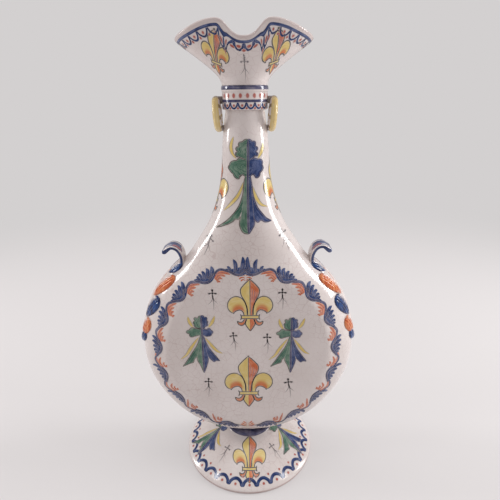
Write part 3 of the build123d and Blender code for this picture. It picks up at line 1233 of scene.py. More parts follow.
@dataclass(frozen=True)
class ErmineLeaf:
    """Tall split leaf, half green and half cobalt, with yellow blades at its waist and head."""

    line: float = 0.8 * MM
    axis: Points = ((-.004, .50), (.004, .2), (0, -.15), (.004, -.50))
    green: LeafHalf = LeafHalf(
        head=(
            (0, .50), (-.045, .455), (-.085, .455), (-.090, .405), (-.108, .370), (-.085, .325),
            (-.070, .300), (-.035, .300), (-.012, .275),
        ),
        arm=(
            (-.010, .27), (-.06, .268), (-.110, .290), (-.150, .280), (-.212, .228), (-.185, .200),
            (-.160, .158), (-.115, .155), (-.070, .180), (-.030, .170),
        ),
        wing_out=((-.020, .18), (-.044, .10), (-.080, 0), (-.164, -.14), (-.245, -.275), (-.318, -.38)),
        wing_in=(
            (0, .18), (-.010, .02), (-.050, -.13), (-.094, -.205), (-.135, -.255), (-.150, -.305),
            (-.205, -.325), (-.318, -.38),
        ),
        tail=((-.020, .12), (-.060, -.10), (-.092, -.212), (-.088, -.270), (-.050, -.350), (0, -.50)),
    )
    blue: LeafHalf = LeafHalf(
        head=(
            (0, .50), (.045, .475), (.072, .460), (.082, .400), (.090, .360), (.066, .325), (.035, .305),
            (.012, .285),
        ),
        arm=(
            (.010, .27), (.060, .262), (.110, .272), (.140, .250), (.152, .205), (.130, .180), (.092, .155),
            (.055, .170), (.030, .170),
        ),
        wing_out=((.020, .18), (.040, .10), (.080, -.018), (.164, -.155), (.252, -.285)),
        wing_in=(
            (0, .18), (.010, .02), (.040, -.12), (.087, -.220), (.125, -.265), (.166, -.300), (.190, -.280),
            (.252, -.285),
        ),
        tail=((.020, .12), (.050, -.08), (.080, -.225), (.072, -.290), (.050, -.370), (.004, -.50)),
    )
    blades: tuple[Points, ...] = (
        ((-.118, .298), (-.155, .360), (-.180, .430), (-.186, .485)),
        ((.100, .300), (.148, .365), (.180, .430), (.200, .492)),
        ((-.050, .135), (-.120, .030), (-.185, -.070), (-.245, -.170), (-.345, -.253)),
        ((.045, .125), (.110, .030), (.170, -.055), (.225, -.115), (.300, -.155)),
    )
    blade_width: float = 0.042
    blade_rim: float = 1.6
    bump: float = 0.015
    bumps: int = 5

    def scalloped(self, points: Points) -> Array:
        """The outline with small round bumps: each point is pushed out by the sine of its place along."""
        line = flow(points, 0.01)
        heading = unit(np.gradient(line, axis=0))
        out = np.stack([-heading[:, 1], heading[:, 0]], axis=1)
        out *= 1.0 if (out * (line - line.mean(axis=0))).sum() > 0 else -1.0
        share = np.linspace(0, 1, len(line))
        return line + out * (self.bump * np.abs(np.sin(np.pi * self.bumps * share)))[:, None]

    def paint(self, brush: Brush, place: Placing) -> None:
        """Draws it.

        Args:
            brush: the brush.
            place: where its middle lies, and its height as the size.
        """
        for blade in self.blades:
            width = self.blade_width * place.size
            rimmed = width + self.blade_rim * self.line
            brush.stroke(place(blade), rimmed, Paint.OLIVE, Touch.POINTED, layer=1)
            brush.stroke(place(blade), width, Paint.YELLOW, Touch.POINTED, layer=2)
        halves = (self.green, Paint.GREEN, Paint.OLIVE), (self.blue, Paint.COBALT, Paint.NAVY)
        for half, paint, outline in halves:
            head, arm = self.scalloped(half.head), self.scalloped(half.arm)
            waist = [(half.head[-1][0] * 2.4, .30), (half.wing_out[0][0] * 1.1, .12)]
            middle = [(0, .12), (0, -.1), (0, -.3), (.004, -.50)]
            brush.wash(place(head), place([(0, .50), (0, .40), (0, .275)]), paint, layer=3)
            brush.wash(place(arm), place([(0, .27), (0, .22), (0, .17)]), paint, layer=3.5)
            brush.wash(place(half.wing_out), place(half.wing_in), paint, layer=4)
            brush.wash(place(half.tail), place(middle), paint, layer=4.5)
            brush.wash(place([(0, .30), (0, .12)]), place(waist), paint, layer=3)
            for edge in (head, arm, half.wing_out, half.wing_in[3:], half.tail[2:]):
                brush.stroke(place(edge), self.line, outline, layer=6)
        brush.stroke(place(self.axis), 1.9 * self.line, Paint.NAVY, Touch.EVEN, layer=7)


@dataclass(frozen=True)
class ErmineSpot:
    """Small heraldic ermine spot: three dabs in a cross over three thin tails."""

    dabs: Points = ((0, .16), (-.135, .01), (.135, .01))
    dab_radius: float = 0.062
    upright: Points = ((0, .22), (0, .1), (0, -.08))
    crossbar: Points = ((-.17, .01), (0, .03), (.17, .01))
    tails: tuple[Triple, ...] = ((-.20, -.50, .05), (.02, -.78, .03), (.22, -.46, -.04))
    thin: float = 0.040

    def paint(self, brush: Brush, place: Placing) -> None:
        """Draws it, each tail bowed to one side on its way to its tip.

        Args:
            brush: the brush.
            place: where its cross lies, and its height as the size.
        """
        thin = self.thin * place.size
        for dab in self.dabs:
            brush.dot(place([dab]), self.dab_radius * place.size, Paint.INK, squash=0.85)
        brush.stroke(place(self.upright), 1.6 * thin, Paint.INK)
        brush.stroke(place(self.crossbar), 1.5 * thin, Paint.INK)
        for x, y, bow in self.tails:
            tail = [(0, -.04), (x * .35 + bow, -.04 + y * .45), (x, y)]
            brush.stroke(place(tail), 1.3 * thin, Paint.INK, Touch.FLICK)


Motif = FleurDeLis | ErmineLeaf | ErmineSpot


@dataclass
class Wreath(Canvas):
    """A ring round the panel as a canvas: across runs down one side from the top, up points outwards."""

    front: Canvas
    side: float
    shift: float = -1.2 * MM
    middle: float = 124.5 * MM
    radius_x: float = 77.0 * MM
    radius_z: float = 79.5 * MM

    def point(self, across: Array, up: Array) -> Array:
        """The ring's ellipse, widened by up, at the angle that across covers."""
        angle = across / self.radius_z
        x = self.shift + self.side * (self.radius_x + up) * np.sin(angle)
        return self.front.point(x, self.middle + (self.radius_z + up) * np.cos(angle))


@dataclass(frozen=True)
class LeafBorder:
    """Wavy cobalt stem round the panel, a cobalt tuft outside and an orange comb inside at every wave.

    Points are in millimetres from the place where each tuft leaves the stem. Each
    swing of the stem has points at shares of the pitch, each at a level plus a
    share of the crest. From the late wave on, tufts are taller and combs droop.
    """

    first: float = 4.5 * MM
    pitch: float = 28.2 * MM
    valley: float = -3.8 * MM
    crests: tuple[float, ...] = (5.8, 5.3, 5.8, 6.3, 7.8, 9.8, 8.3, 7.8)
    thin_line: float = 2.0 * MM
    thick_line: float = 3.6 * MM
    swing: tuple[Triple, ...] = (
        (0.18, 0.8, 0.0), (0.38, 0.0, 0.62), (0.58, 0.0, 0.94), (0.80, 0.0, 0.50), (1.0, 0.0, 0.0),
    )
    swell: Points = ((-.26, 2.6), (-.12, .7), (0, 0), (.16, .8), (.36, 3.2))
    end_dabs: Points = ((-1.5, 7.0), (-3.6, 6.0), (-5.6, 4.6))
    late: int = 5
    reach: float = 0.98
    sweep: float = 0.16
    rise: float = 0.95
    shell_low: Points = ((-5.5, 4.5), (-3, 1.5), (0, -.4), (4, .2), (8, 2.2), (12.5, 4.4))
    shell_high: Points = ((-5.5, 7.2), (-3, 7.0), (0, 6.2), (4, 5.2), (8, 4.9), (12.5, 5.6))
    fingers: tuple[tuple[float, Points], ...] = (
        (3.8, ((-.5, 1.5), (-3.4, 4.0), (-4.9, 7.2), (-4.2, 9.8))),
        (3.4, ((1.2, 2.0), (-.4, 4.9), (-.9, 7.4), (.3, 9.3))),
        (3.0, ((3.8, 2.2), (2.9, 4.8), (3.3, 6.9), (4.7, 8.2))),
        (2.5, ((6.3, 3.0), (5.9, 4.9), (6.9, 6.5), (8.3, 7.4))),
        (2.0, ((8.7, 3.8), (8.7, 5.2), (9.9, 6.6))),
    )
    tall_finger: Points = ((-1.5, 2.0), (-4.2, 5.4), (-4.4, 9.8), (-2.6, 13.4))
    top_fingers: tuple[tuple[float, Points], ...] = (
        (3.3, ((0.2, 1.5), (-1.2, 5.5), (-1.4, 10.0), (-0.4, 14.6))),
        (3.1, ((5.0, 1.6), (4.2, 5.2), (4.8, 9.4), (6.6, 12.8))),
        (2.4, ((9.2, 2.6), (9.0, 4.4), (10.0, 6.2), (11.4, 7.4))),
    )
    combs: tuple[tuple[float, Points], ...] = (
        (2.4, ((-5.0, .8), (-9.5, 3.0), (-15, 2.6), (-20, .4))),
        (2.3, ((-6.0, -.6), (-11, 1.6), (-15.6, -.2))),
        (2.0, ((-6.6, -1.8), (-10, -.4), (-12.4, -1.8))),
        (1.7, ((-6.8, -3.0), (-8.6, -2.8), (-9.8, -3.9))),
    )
    droops: tuple[tuple[Points, Points], ...] = (
        (((-5.5, 2.6), (-13, 6.1), (-18, 5.5), (-22.5, 2.1)), ((-6.0, .4), (-11.5, 3.2), (-17, .8))),
        (((-6.0, 2.7), (-11, 7.0), (-18, 4.8), (-22.5, .5)), ((-6.2, .2), (-11, 2.6), (-16, -1.2))),
        (((-6.0, 3.4), (-11.5, 6.1), (-17, .5), (-21.5, -3.8)), ((-6.2, .8), (-10.4, 2.0), (-14.2, -3.0))),
        (((-6.0, 2.6), (-10.5, 4.8), (-15, -.5), (-19, -5.2)), ((-6.2, .2), (-9.6, .8), (-12.2, -4.4))),
    )

    def paint(self, brush: Brush, length: float) -> None:
        """Draws one side from the top to the bottom.

        Args:
            brush: a brush on the ring's canvas.
            length: the ring's half length.
        """
        stem = [(0.0, self.valley + 1.6 * MM), (self.first, self.valley)]
        for wave, crest in enumerate(self.crests):
            base = self.first + self.pitch * wave
            swing = [(base + along * self.pitch, level + share * crest) for along, level, share in self.swing]
            stem += [(along, self.valley + level * MM) for along, level in swing]
        stem += [(stem[-1][0] + 0.3 * self.pitch, self.valley + 1.5 * MM), (length, self.valley + 3.4 * MM)]
        brush.stroke(stem, self.thin_line, Paint.COBALT)
        brush.stroke(stem, 0.5 * self.thin_line, Paint.NAVY, layer=4)
        for wave in range(len(self.crests) + 1):
            place = Placing(self.first + self.pitch * wave, self.valley, MM)
            swell = [(along * self.pitch / MM, level) for along, level in self.swell]
            brush.stroke(place(swell), self.thick_line, Paint.COBALT, Touch.POINTED, layer=3)
            self._tuft(brush, place, wave)
            if wave:
                self._comb(brush, place, wave)
        for level, reach in self.end_dabs:
            line = [(0.4, level), (0.5 * reach, level + 0.9), (reach, level - 0.6)]
            brush.stroke(Placing(0.0, self.valley, MM)(line), 1.6 * MM, Paint.ORANGE, Touch.DROP)
            foot = [(-0.6, level + 4.5), (-0.5 * reach, level + 3.6), (-reach, level + 1.4)]
            brush.stroke(Placing(length, self.valley, MM)(foot), 1.8 * MM, Paint.ORANGE, Touch.DROP)

    def _tuft(self, brush: Brush, place: Placing, wave: int) -> None:
        """A cobalt shell that rises from the stem and parts into fingers.

        Args:
            brush: the brush.
            place: where it leaves the stem.
            wave: its number from the top.
        """
        stretched = self.stretched
        brush.wash(place(stretched(self.shell_low)), place(stretched(self.shell_high)), Paint.COBALT, layer=5)
        fingers = list(self.fingers if wave else self.top_fingers)
        if wave >= self.late:
            fingers[0] = (2.9, self.tall_finger)
        for number, (width, line) in enumerate(fingers):
            layer = 6 + number
            brush.stroke(place(stretched(line)), 1.12 * width * MM, Paint.COBALT, Touch.LOBE, layer)
            brush.stroke(place(stretched(line[:3])), 0.36 * width * MM, Paint.NAVY, Touch.FLICK, layer=12)
        brush.stroke(place(stretched(self.shell_low)), 1.3 * MM, Paint.NAVY, layer=12)

    def stretched(self, points: Points) -> Points:
        """The points drawn out along the stem, swept back the more the higher they are, and lowered."""
        return [(self.reach * x - self.sweep * y, self.rise * y) for x, y in points]

    def _comb(self, brush: Brush, place: Placing, wave: int) -> None:
        """Orange fingers that run back along the inside of the stem.

        Args:
            brush: the brush.
            place: where the tuft beside it leaves the stem.
            wave: its number from the top.
        """
        lines = list(self.combs)
        if wave >= self.late:
            for number, line in enumerate(self.droops[wave - self.late]):
                lines[number] = (lines[number][0], line)
        for width, line in lines:
            brush.stroke(place(line), 1.05 * width * MM, Paint.ORANGE, Touch.LOBE, layer=1)
            brush.stroke(place(line), 0.35 * width * MM, Paint.RED, Touch.POINTED, layer=2)


@dataclass(frozen=True)
class ScallopBand:
    """Row of cobalt loops hung from a hoop, a red dot in each loop and one between each pair.

    The loops are spaced evenly along the line through their middles, so they keep
    their breadth where the hoop bends.
    """

    count: int
    hang: float
    drop: float
    line: float = 1.1 * MM
    dot: float = 0.9 * MM
    inside: float = 0.50
    between: float = 0.95
    gap: float = 0.03
    bow: float = 0.5
    samples: int = 1441
    loop_points: int = 13

    def paint(self, brush: Brush, length: float, shift: float = 0.0) -> None:
        """Draws the row.

        Args:
            brush: a brush on a hoop's canvas.
            length: the hoop's length.
            shift: how far the first loop starts from the canvas's middle, in loops.
        """
        hoop = np.linspace(0, length, self.samples)
        places, _ = brush.canvas.lay(hoop, np.full(len(hoop), self.hang - 0.5 * self.drop), 0.0)
        run = run_along(places)
        marks = (np.arange(self.count + 1) + shift) / self.count
        starts = np.floor(marks) * length + np.interp((marks % 1.0) * run[-1], run, hoop)
        share = np.linspace(0, 1, self.loop_points)
        for start, end in zip(starts[:-1], starts[1:]):
            pitch = end - start
            along = start + pitch * (self.gap + (1 - 2 * self.gap) * share)
            sag = self.hang - self.drop * np.sin(np.pi * share) ** self.bow
            brush.stroke(np.stack([along, sag], axis=1), self.line, Paint.COBALT)
            brush.dot([(start + pitch / 2, self.hang - self.inside * self.drop)], self.dot, Paint.RED)
            brush.dot([(start, self.hang - self.between * self.drop)], 0.9 * self.dot, Paint.RED)


# Sub-assemblies

@dataclass
class BodyAndNeck:
    """The two luted body halves and the neck, under one skin of glaze, with the hollow inside."""

    finishes: Finishes
    skin: BodySkin
    columns: int = 288
    outer_rows: int = 236
    inner_rows: int = 44
    wall: float = 5.0 * MM
    bore_wall: float = 4.2 * MM

    def build(self) -> Piece:
        """One closed shell.

        The outer rows climb from the base to the neck's top at even distances along
        the side, and the inner rows go down again inside the wall.

        Returns:
            The shell.
        """
        skin = self.skin
        dense = np.linspace(skin.base, skin.top, 3000)
        side = np.stack([skin.width(dense), dense], axis=1)
        rise = spaced(side, 1.0, self.outer_rows)[:, 1]
        angle = full_turn(self.columns)[None]
        outer = skin.ring(angle + 0 * rise[:, None], rise[:, None] + 0 * angle, 0.0)
        fall = np.linspace(skin.top, skin.base + self.wall, self.inner_rows)
        wall = np.interp(fall, [skin.shoulder, skin.top], [self.wall, self.bore_wall])
        inner = skin.ring(angle + 0 * fall[:, None], fall[:, None] + 0 * angle, wall[:, None] + 0 * angle)
        points = np.concatenate([outer, inner])
        parts = MeshParts()
        parts.grid(points, round_trip=True, caps=(True, True))
        shell = parts.build("body_and_neck", [self.finishes.glaze()])
        return settle(shell, "tin_glaze", "body_front", "body_back", "neck")


@dataclass
class Mouth:
    """The lobed mouth with its rounded lip."""

    finishes: Finishes
    skin: MouthSkin
    columns: int = 288
    rows: int = 46
    lip_rows: int = 16
    wall: float = 5.6 * MM
    bore_radius: float = 10.4 * MM
    lip: float = 2.3 * MM
    lip_rise: float = 0.72
    lip_thin_glaze_and_shade: float = 0.35
    seat_share: float = 0.14

    def build(self) -> Piece:
        """Outer skin, a lip bowed over from the outer to the inner skin, and the inner skin down to the bore.

        The lip is a cubic Bezier curve whose handles follow the two skins.

        Returns:
            The closed shell.
        """
        skin = self.skin
        angle = full_turn(self.columns)[None]
        share = np.linspace(0, 1, self.rows)[:, None]
        outer_top = skin.rim_height(angle, 0.0) - self.lip_rise * self.lip
        outer = self._meridians(angle, share, outer_top, 0.0)
        inner_top = skin.rim_height(angle, self.wall) - self.lip_rise * self.lip
        inner = self._meridians(angle, share, inner_top, self.wall)
        start, end = outer[-1], inner[-1]
        handle_out = start + self.lip * unit(start - outer[-2])
        handle_in = end + self.lip * unit(end - inner[-2])
        bow = np.linspace(0, 1, self.lip_rows + 2)[1:-1, None, None]
        lip = (
            (1 - bow) ** 3 * start + 3 * bow * (1 - bow) ** 2 * handle_out
            + 3 * bow**2 * (1 - bow) * handle_in + bow**3 * end
        )
        points = np.concatenate([outer, lip, inner[::-1]])
        rows = len(points)
        # The lip is tinted towards the clay: partly thin glaze, partly painted shade on the rolled lip.
        thin = np.zeros((rows, self.columns))
        thin[self.rows - 2:self.rows + self.lip_rows + 2] = self.lip_thin_glaze_and_shade
        parts = MeshParts()
        parts.grid(points, round_trip=True, ring=True, marks={"thin": thin})
        return settle(parts.build("mouth_lobed", [self.finishes.glaze()]), "tin_glaze", "mouth")

    def _meridians(self, angle: Array, share: Array, top: Array, inset: float) -> Array:
        """Rows of points from the seat to a height, the inner ones narrowing to the bore."""
        skin = self.skin
        height = skin.base + (top - skin.base) * share
        points = skin.ring(angle + 0 * height, height, inset)
        if inset:
            seat = smooth_step(height, skin.base, skin.base + self.seat_share * skin.height)
            bore = round_axis(self.bore_radius, self.bore_radius, angle, height)
            points = bore * (1 - seat[..., None]) + points * seat[..., None]
        return points


@dataclass
class Foot:
    """Bell-shaped foot that stands on its rim, open underneath."""

    finishes: Finishes
    radius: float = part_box("foot")[1].x
    height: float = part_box("foot")[1].z
    stem: float = 19.5 * MM
    bore: float = 12.0 * MM
    edge: float = 3.4 * MM
    rest_width: float = 6.5 * MM
    wall: float = 5.0 * MM
    ease: float = 1.5 * MM
    rim_thin: float = 0.75
    columns: int = 256

    def top_profile(self) -> Array:
        """Radius and height from the stem down to the rim's edge."""
        bow = bezier(
            [
                (self.stem, self.height), (self.stem, self.height - self.wall),
                ((self.stem + self.radius) / 2, self.height / 2 + self.edge), (self.radius, self.edge),
            ],
            count=90,
        )
        return bow[bow[:, 0] < self.radius - self.ease]

    def skin(self) -> TurnedSkin:
        """The painted upper surface, from the rim up to the stem."""
        return TurnedSkin(self.top_profile()[::-1])

    def build(self) -> Piece:
        """The foot turned as one closed profile.

        Returns:
            The foot.
        """
        top = self.top_profile()
        rest = self.radius - self.rest_width
        arch = self.height - self.wall
        drop = (top[-1, 1] - self.edge) / (self.radius - top[-1, 0])
        shoulder = bezier(
            [
                top[-1], (self.radius, top[-1, 1] - drop * (self.radius - top[-1, 0])),
                (self.radius, self.edge - self.ease),
            ],
            count=8,
        )
        toe = bezier([(self.radius, self.ease), (self.radius, 0), (self.radius - self.ease, 0)], count=7)
        heel = bezier([(rest + self.ease, 0), (rest, 0), (rest - self.ease * 0.7, self.ease * 0.8)], count=7)
        vault = bezier(
            [
                (rest - self.ease, self.ease), ((self.stem + rest) / 2, self.height / 2 - self.edge),
                (self.stem, arch - self.wall), (self.bore, arch - self.edge),
            ],
            count=40,
        )
        crown = np.array([(self.bore, self.height), (self.stem, self.height)])
        profile = np.concatenate([crown, top, shoulder[1:], toe, heel, vault])
        grid = revolved(profile, self.columns)
        thin = np.zeros(grid.shape[:2])
        start = len(crown) + len(top) - 3
        thin[start + len(shoulder):start + len(shoulder) + len(toe) + len(heel)] = self.rim_thin
        parts = MeshParts()
        parts.grid(grid, round_trip=True, ring=True, marks={"thin": thin}, flip=True)
        return settle(parts.build("foot_bell", [self.finishes.glaze()]), "tin_glaze", "foot")


@dataclass
class StemRing:
    """Cobalt bead between the foot and the body."""

    finishes: Finishes
    radius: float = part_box("stem_ring")[1].x
    base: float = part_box("stem_ring")[0].z
    top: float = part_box("stem_ring")[1].z
    bore: float = 12.0 * MM
    edge: Pair = (0.2, 0.8)
    rows: int = 20
    columns: int = 160

    def build(self) -> Piece:
        """A half-round bead round the stem."""
        bead = (self.top - self.base) / 2
        turn = np.linspace(-math.pi / 2, math.pi / 2, self.rows)
        out, up = bead * np.cos(turn), bead * np.sin(turn)
        arc = np.stack([self.radius - bead + out, self.base + bead + up], axis=1)
        profile = np.concatenate([[(self.bore, self.base)], arc, [(self.bore, self.top)]])
        grid = revolved(profile, self.columns)
        angle = np.linspace(0, 1, self.columns)[None] * 2 * math.pi * self.radius
        rows = np.linspace(*self.edge, len(profile))[:, None]
        stroke = np.stack([angle + 0 * rows, rows * bead + 0 * angle, rows + 0 * angle], axis=-1)
        parts = MeshParts()
        marks = {"stroke": stroke, "wash": np.zeros(grid.shape[:2])}
        parts.grid(grid, round_trip=True, ring=True, marks=marks)
        return settle(parts.build("stem_bead", [self.finishes.paint(Paint.NAVY)]), "blue_glaze", "stem_ring")


@dataclass
class Collar:
    """Collar round the top of the neck, under the mouth."""

    finishes: Finishes
    base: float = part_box("collar")[0].z
    top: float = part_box("collar")[1].z
    bead_radius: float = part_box("collar")[1].x
    radius: float = 16.8 * MM
    bead: float = 4.2 * MM
    ease: float = 1.0 * MM
    seat: float = 14.6 * MM
    bead_rows: int = 16
    columns: int = 200

    def profile(self) -> Array:
        """Radius and height of the outside, from the eased foot up over the bead."""
        foot = bezier(
            [
                (self.radius - self.ease, self.base), (self.radius, self.base),
                (self.radius, self.base + self.ease),
            ],
            count=8,
        )
        wall = bezier([foot[-1], (self.radius, self.top - self.bead)], count=10)[1:]
        turn = np.linspace(0, math.pi, self.bead_rows)
        proud = self.bead_radius - self.radius
        out, down = proud * np.sin(turn), self.bead * (1 + np.cos(turn)) / 2
        bead = np.stack([self.radius + out, self.top - down], axis=1)
        return np.concatenate([foot, wall, bead[1:]])

    def skin(self) -> TurnedSkin:
        """The painted outside."""
        return TurnedSkin(self.profile())

    def build(self) -> Piece:
        """The collar turned as one closed profile."""
        profile = np.concatenate([[(self.seat, self.base)], self.profile(), [(self.seat, self.top)]])
        parts = MeshParts()
        parts.grid(revolved(profile, self.columns), round_trip=True, ring=True)
        return settle(parts.build("neck_collar", [self.finishes.glaze()]), "tin_glaze", "collar")


class Paired:
    """A piece that the flask has on both sides: way is 1 on the right and -1 on the left."""

    kind: ClassVar[str]
    way: float

    @property
    def name(self) -> str:
        """Its CAD node's name."""
        return f"{'right' if self.way > 0 else 'left'}_{self.kind}"


@dataclass
class HangingRing(Paired):
    """One of the two fixed rings beside the neck: yellow outside, white with dark dabs towards the neck, with
    painted shade where it hangs from its lug.
    """

    kind: ClassVar[str] = "ring"
    finishes: Finishes
    way: float
    tilt: float = math.radians(4.5)
    tube: float = 3.0 * MM
    dabs: int = 9
    yellow_edge: Pair = (0.16, 0.30)
    inner_edge: Pair = (0.26, 0.12)
    lug_shade: Pair = (0.55, 0.20)
    dab_edge: Pair = (0.25, 0.85)
    columns: int = 180
    rows: int = 48

    def surface(self, around: Array, over: Array) -> Array:
        """Point of the torus.

        Args:
            around: angle round the ring, 0 at its foot.
            over: angle round the tube, 0 on the side away from the neck.

        Returns:
            The points, tilted out and moved to the CAD ring's middle.
        """
        low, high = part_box(self.name)
        middle = (low + high) / 2
        radius = ((high.z - low.z) / 2 - self.tube) / math.cos(self.tilt)
        reach = radius + self.tube * np.sin(over)
        out, across, down = self.tube * np.cos(over), reach * np.sin(around), -reach * np.cos(around)
        x = out * math.cos(self.tilt) + down * math.sin(self.tilt)
        z = down * math.cos(self.tilt) - out * math.sin(self.tilt)
        return np.stack([middle.x + self.way * x, across, middle.z + z], axis=-1)

    def build(self) -> Piece:
        """The ring, its yellow, its dabs and the painted shade under its lug laid by the angles round it and
        round the tube.
        """
        around = full_turn(self.columns)[None]
        over = full_turn(self.rows)[:, None]
        points = self.surface(around + 0 * over, over + 0 * around)
        outward = 0.5 + 0.5 * np.cos(over)
        yellow = smooth_step(outward, *self.yellow_edge)
        # Painted shade: the ring darkens near its top, where it hangs from the lug, most on the tube's outer
        # edge that meets the lug.
        shade_near_lug = smooth_step(np.abs(around - math.pi), *self.lug_shade)
        spots = smooth_step(np.cos(self.dabs * around), *self.dab_edge)
        inner = smooth_step(outward, *self.inner_edge) * smooth_step(np.sin(over), -0.9, -0.2)
        dark = np.clip(spots * inner + shade_near_lug * (0.4 + 0.6 * smooth_step(np.sin(over), -0.2, 0.6)), 0, 1)
        cover = 0.5 * np.maximum(yellow, dark)
        stroke = np.stack([around * 10 * MM + 0 * over, over * self.tube + 0 * around, cover], axis=-1)
        parts = MeshParts()
        marks = {"stroke": stroke, "wash": 0.8 * dark}
        parts.grid(points, round_trip=True, ring=True, flip=self.way < 0, marks=marks)
        made = parts.build(self.name + "_glazed", [self.finishes.paint(Paint.STRAW)])
        return settle(made, "yellow_glaze", self.name)


@dataclass
class ScrollHandle(Paired):
    """Strap that rises from the shoulder and rolls outwards to a rounded tip."""

    kind: ClassVar[str] = "scroll"
    finishes: Finishes
    skin: BodySkin
    way: float
    half_breadth: float = 8.0 * MM
    thickness: float = 3.4 * MM
    tip_radius: float = 2.2 * MM
    root_x: float = 54.8 * MM
    root_z: float = 196.5 * MM
    rise: float = 17.5 * MM
    reach: float = 13.7 * MM
    flare: float = 15.0 * MM
    flare_rise: float = 0.55
    path_shares: Points = ((0.0, -0.194), (0.00, 0.55), (0.27, 0.92), (0.62, 1.00), (1.00, 0.80))
    face_bow: float = 0.55
    edge_bow: float = 0.28
    rim_insets: Pair = (1.5 * MM, 0.9 * MM)
    rim_side: Pair = (-0.55, -0.25)
    tip_start: Pair = (0.90, 0.95)
    stroke_pitch: float = 2.6 * MM
    stroke_edge: Pair = (0.45, 0.9)
    stroke_start: Pair = (0.50, 0.58)
    red_place: float = 4.6 * MM
    red_edge: Pair = (1.1 * MM, 0.5 * MM)
    red_start: Pair = (0.45, 0.52)
    red_end: Pair = (0.66, 0.72)
    swell_start: float = 0.75
    cap_rows: int = 10
    columns: int = 96
    rows: int = 96

    def path(self) -> Array:
        """Middle line of the strap in the plane of the handles."""
        line = [(self.root_x + self.reach * x, self.root_z + self.rise * z) for x, z in self.path_shares]
        return flow(line, 0.5 * MM)

    def half_breadths(self, path: Array) -> Array:
        """Half breadth along the path: it flares to the shoulder on a Bezier curve."""
        foot = float(path[0, 1])
        curve = bezier(
            [
                (self.flare, foot), (self.half_breadth, self.root_z),
                (self.half_breadth, self.root_z + self.flare_rise * self.rise),
            ],
            count=40,
        )
        return np.interp(path[:, 1], curve[:, 1], curve[:, 0])

    def build(self) -> Piece:
        """A rounded oblong section carried along the path, swelling to the tip and closed over it.

        The inner half of both edge faces and the tip are blue, and blue and red
        strokes run along the top: eased steps of the place across and along the strap.

        Returns:
            The scroll.
        """
        path = spaced(self.path(), 1.0, self.rows)
        heading = unit(np.gradient(path, axis=0))
        cap = np.sin(np.linspace(0, math.pi / 2, self.cap_rows))[1:, None]
        path = np.concatenate([path, path[-1:] + heading[-1:] * self.tip_radius * cap])
        heading = np.concatenate([heading, np.repeat(heading[-1:], len(cap), axis=0)])
        side = np.stack([heading[:, 1], -heading[:, 0]], axis=1)
        share = np.linspace(0, 1, len(path) - len(cap))
        thin = self.thickness / 2
        swell = thin + (self.tip_radius - thin) * smooth_step(share, self.swell_start, 1.0)
        close = np.sqrt(np.clip(1 - cap[:, 0] ** 2, 1e-4, 1))
        thick = np.concatenate([swell, self.tip_radius * close])
        broad = self.half_breadths(path)
        broad[-len(cap):] -= self.tip_radius * 0.5 * (1 - close)
        turn = full_turn(self.columns)
        oblong_x = np.sign(np.cos(turn)) * np.abs(np.cos(turn)) ** self.face_bow
        oblong_y = np.sign(np.sin(turn)) * np.abs(np.sin(turn)) ** self.edge_bow
        x = path[:, :1] + side[:, :1] * thick[:, None] * oblong_x
        z = path[:, 1:] + side[:, 1:] * thick[:, None] * oblong_x
        y = broad[:, None] * oblong_y
        along = np.linspace(0, 1, len(path))[:, None] + 0 * x
        under = oblong_x[None] > 0
        rim = smooth_step(np.abs(y), *(self.half_breadth - inset for inset in self.rim_insets))
        rim = rim * smooth_step(oblong_x[None], *self.rim_side)
        tip = smooth_step(along, *self.tip_start)
        fan = self.stroke_pitch * (1.4 - 0.4 * along)
        strokes = smooth_step(np.cos(2 * math.pi * y / fan), *self.stroke_edge)
        strokes = strokes * smooth_step(along, *self.stroke_start) * (1 - under)
        red = smooth_step(np.abs(y + self.red_place), *self.red_edge)
        red = red * smooth_step(along, *self.red_start) * (1 - smooth_step(along, *self.red_end))
        red = red * (1 - under) * (1 - rim)
        cover = np.maximum(np.maximum(rim, tip), np.maximum(strokes * 0.9, red))
        parts = MeshParts()
        stroke = np.stack([along * 40 * MM, np.abs(y), 0.5 * cover], axis=-1)
        points, marks = np.stack([self.way * x, y, z], axis=-1), {"stroke": stroke, "wash": red}
        parts.grid(points, round_trip=True, caps=(True, True), flip=self.way > 0, marks=marks)
        made = parts.build(self.name + "_painted", [self.finishes.paint(Paint.COBALT)])
        return settle(made, "scroll_glaze", self.name)


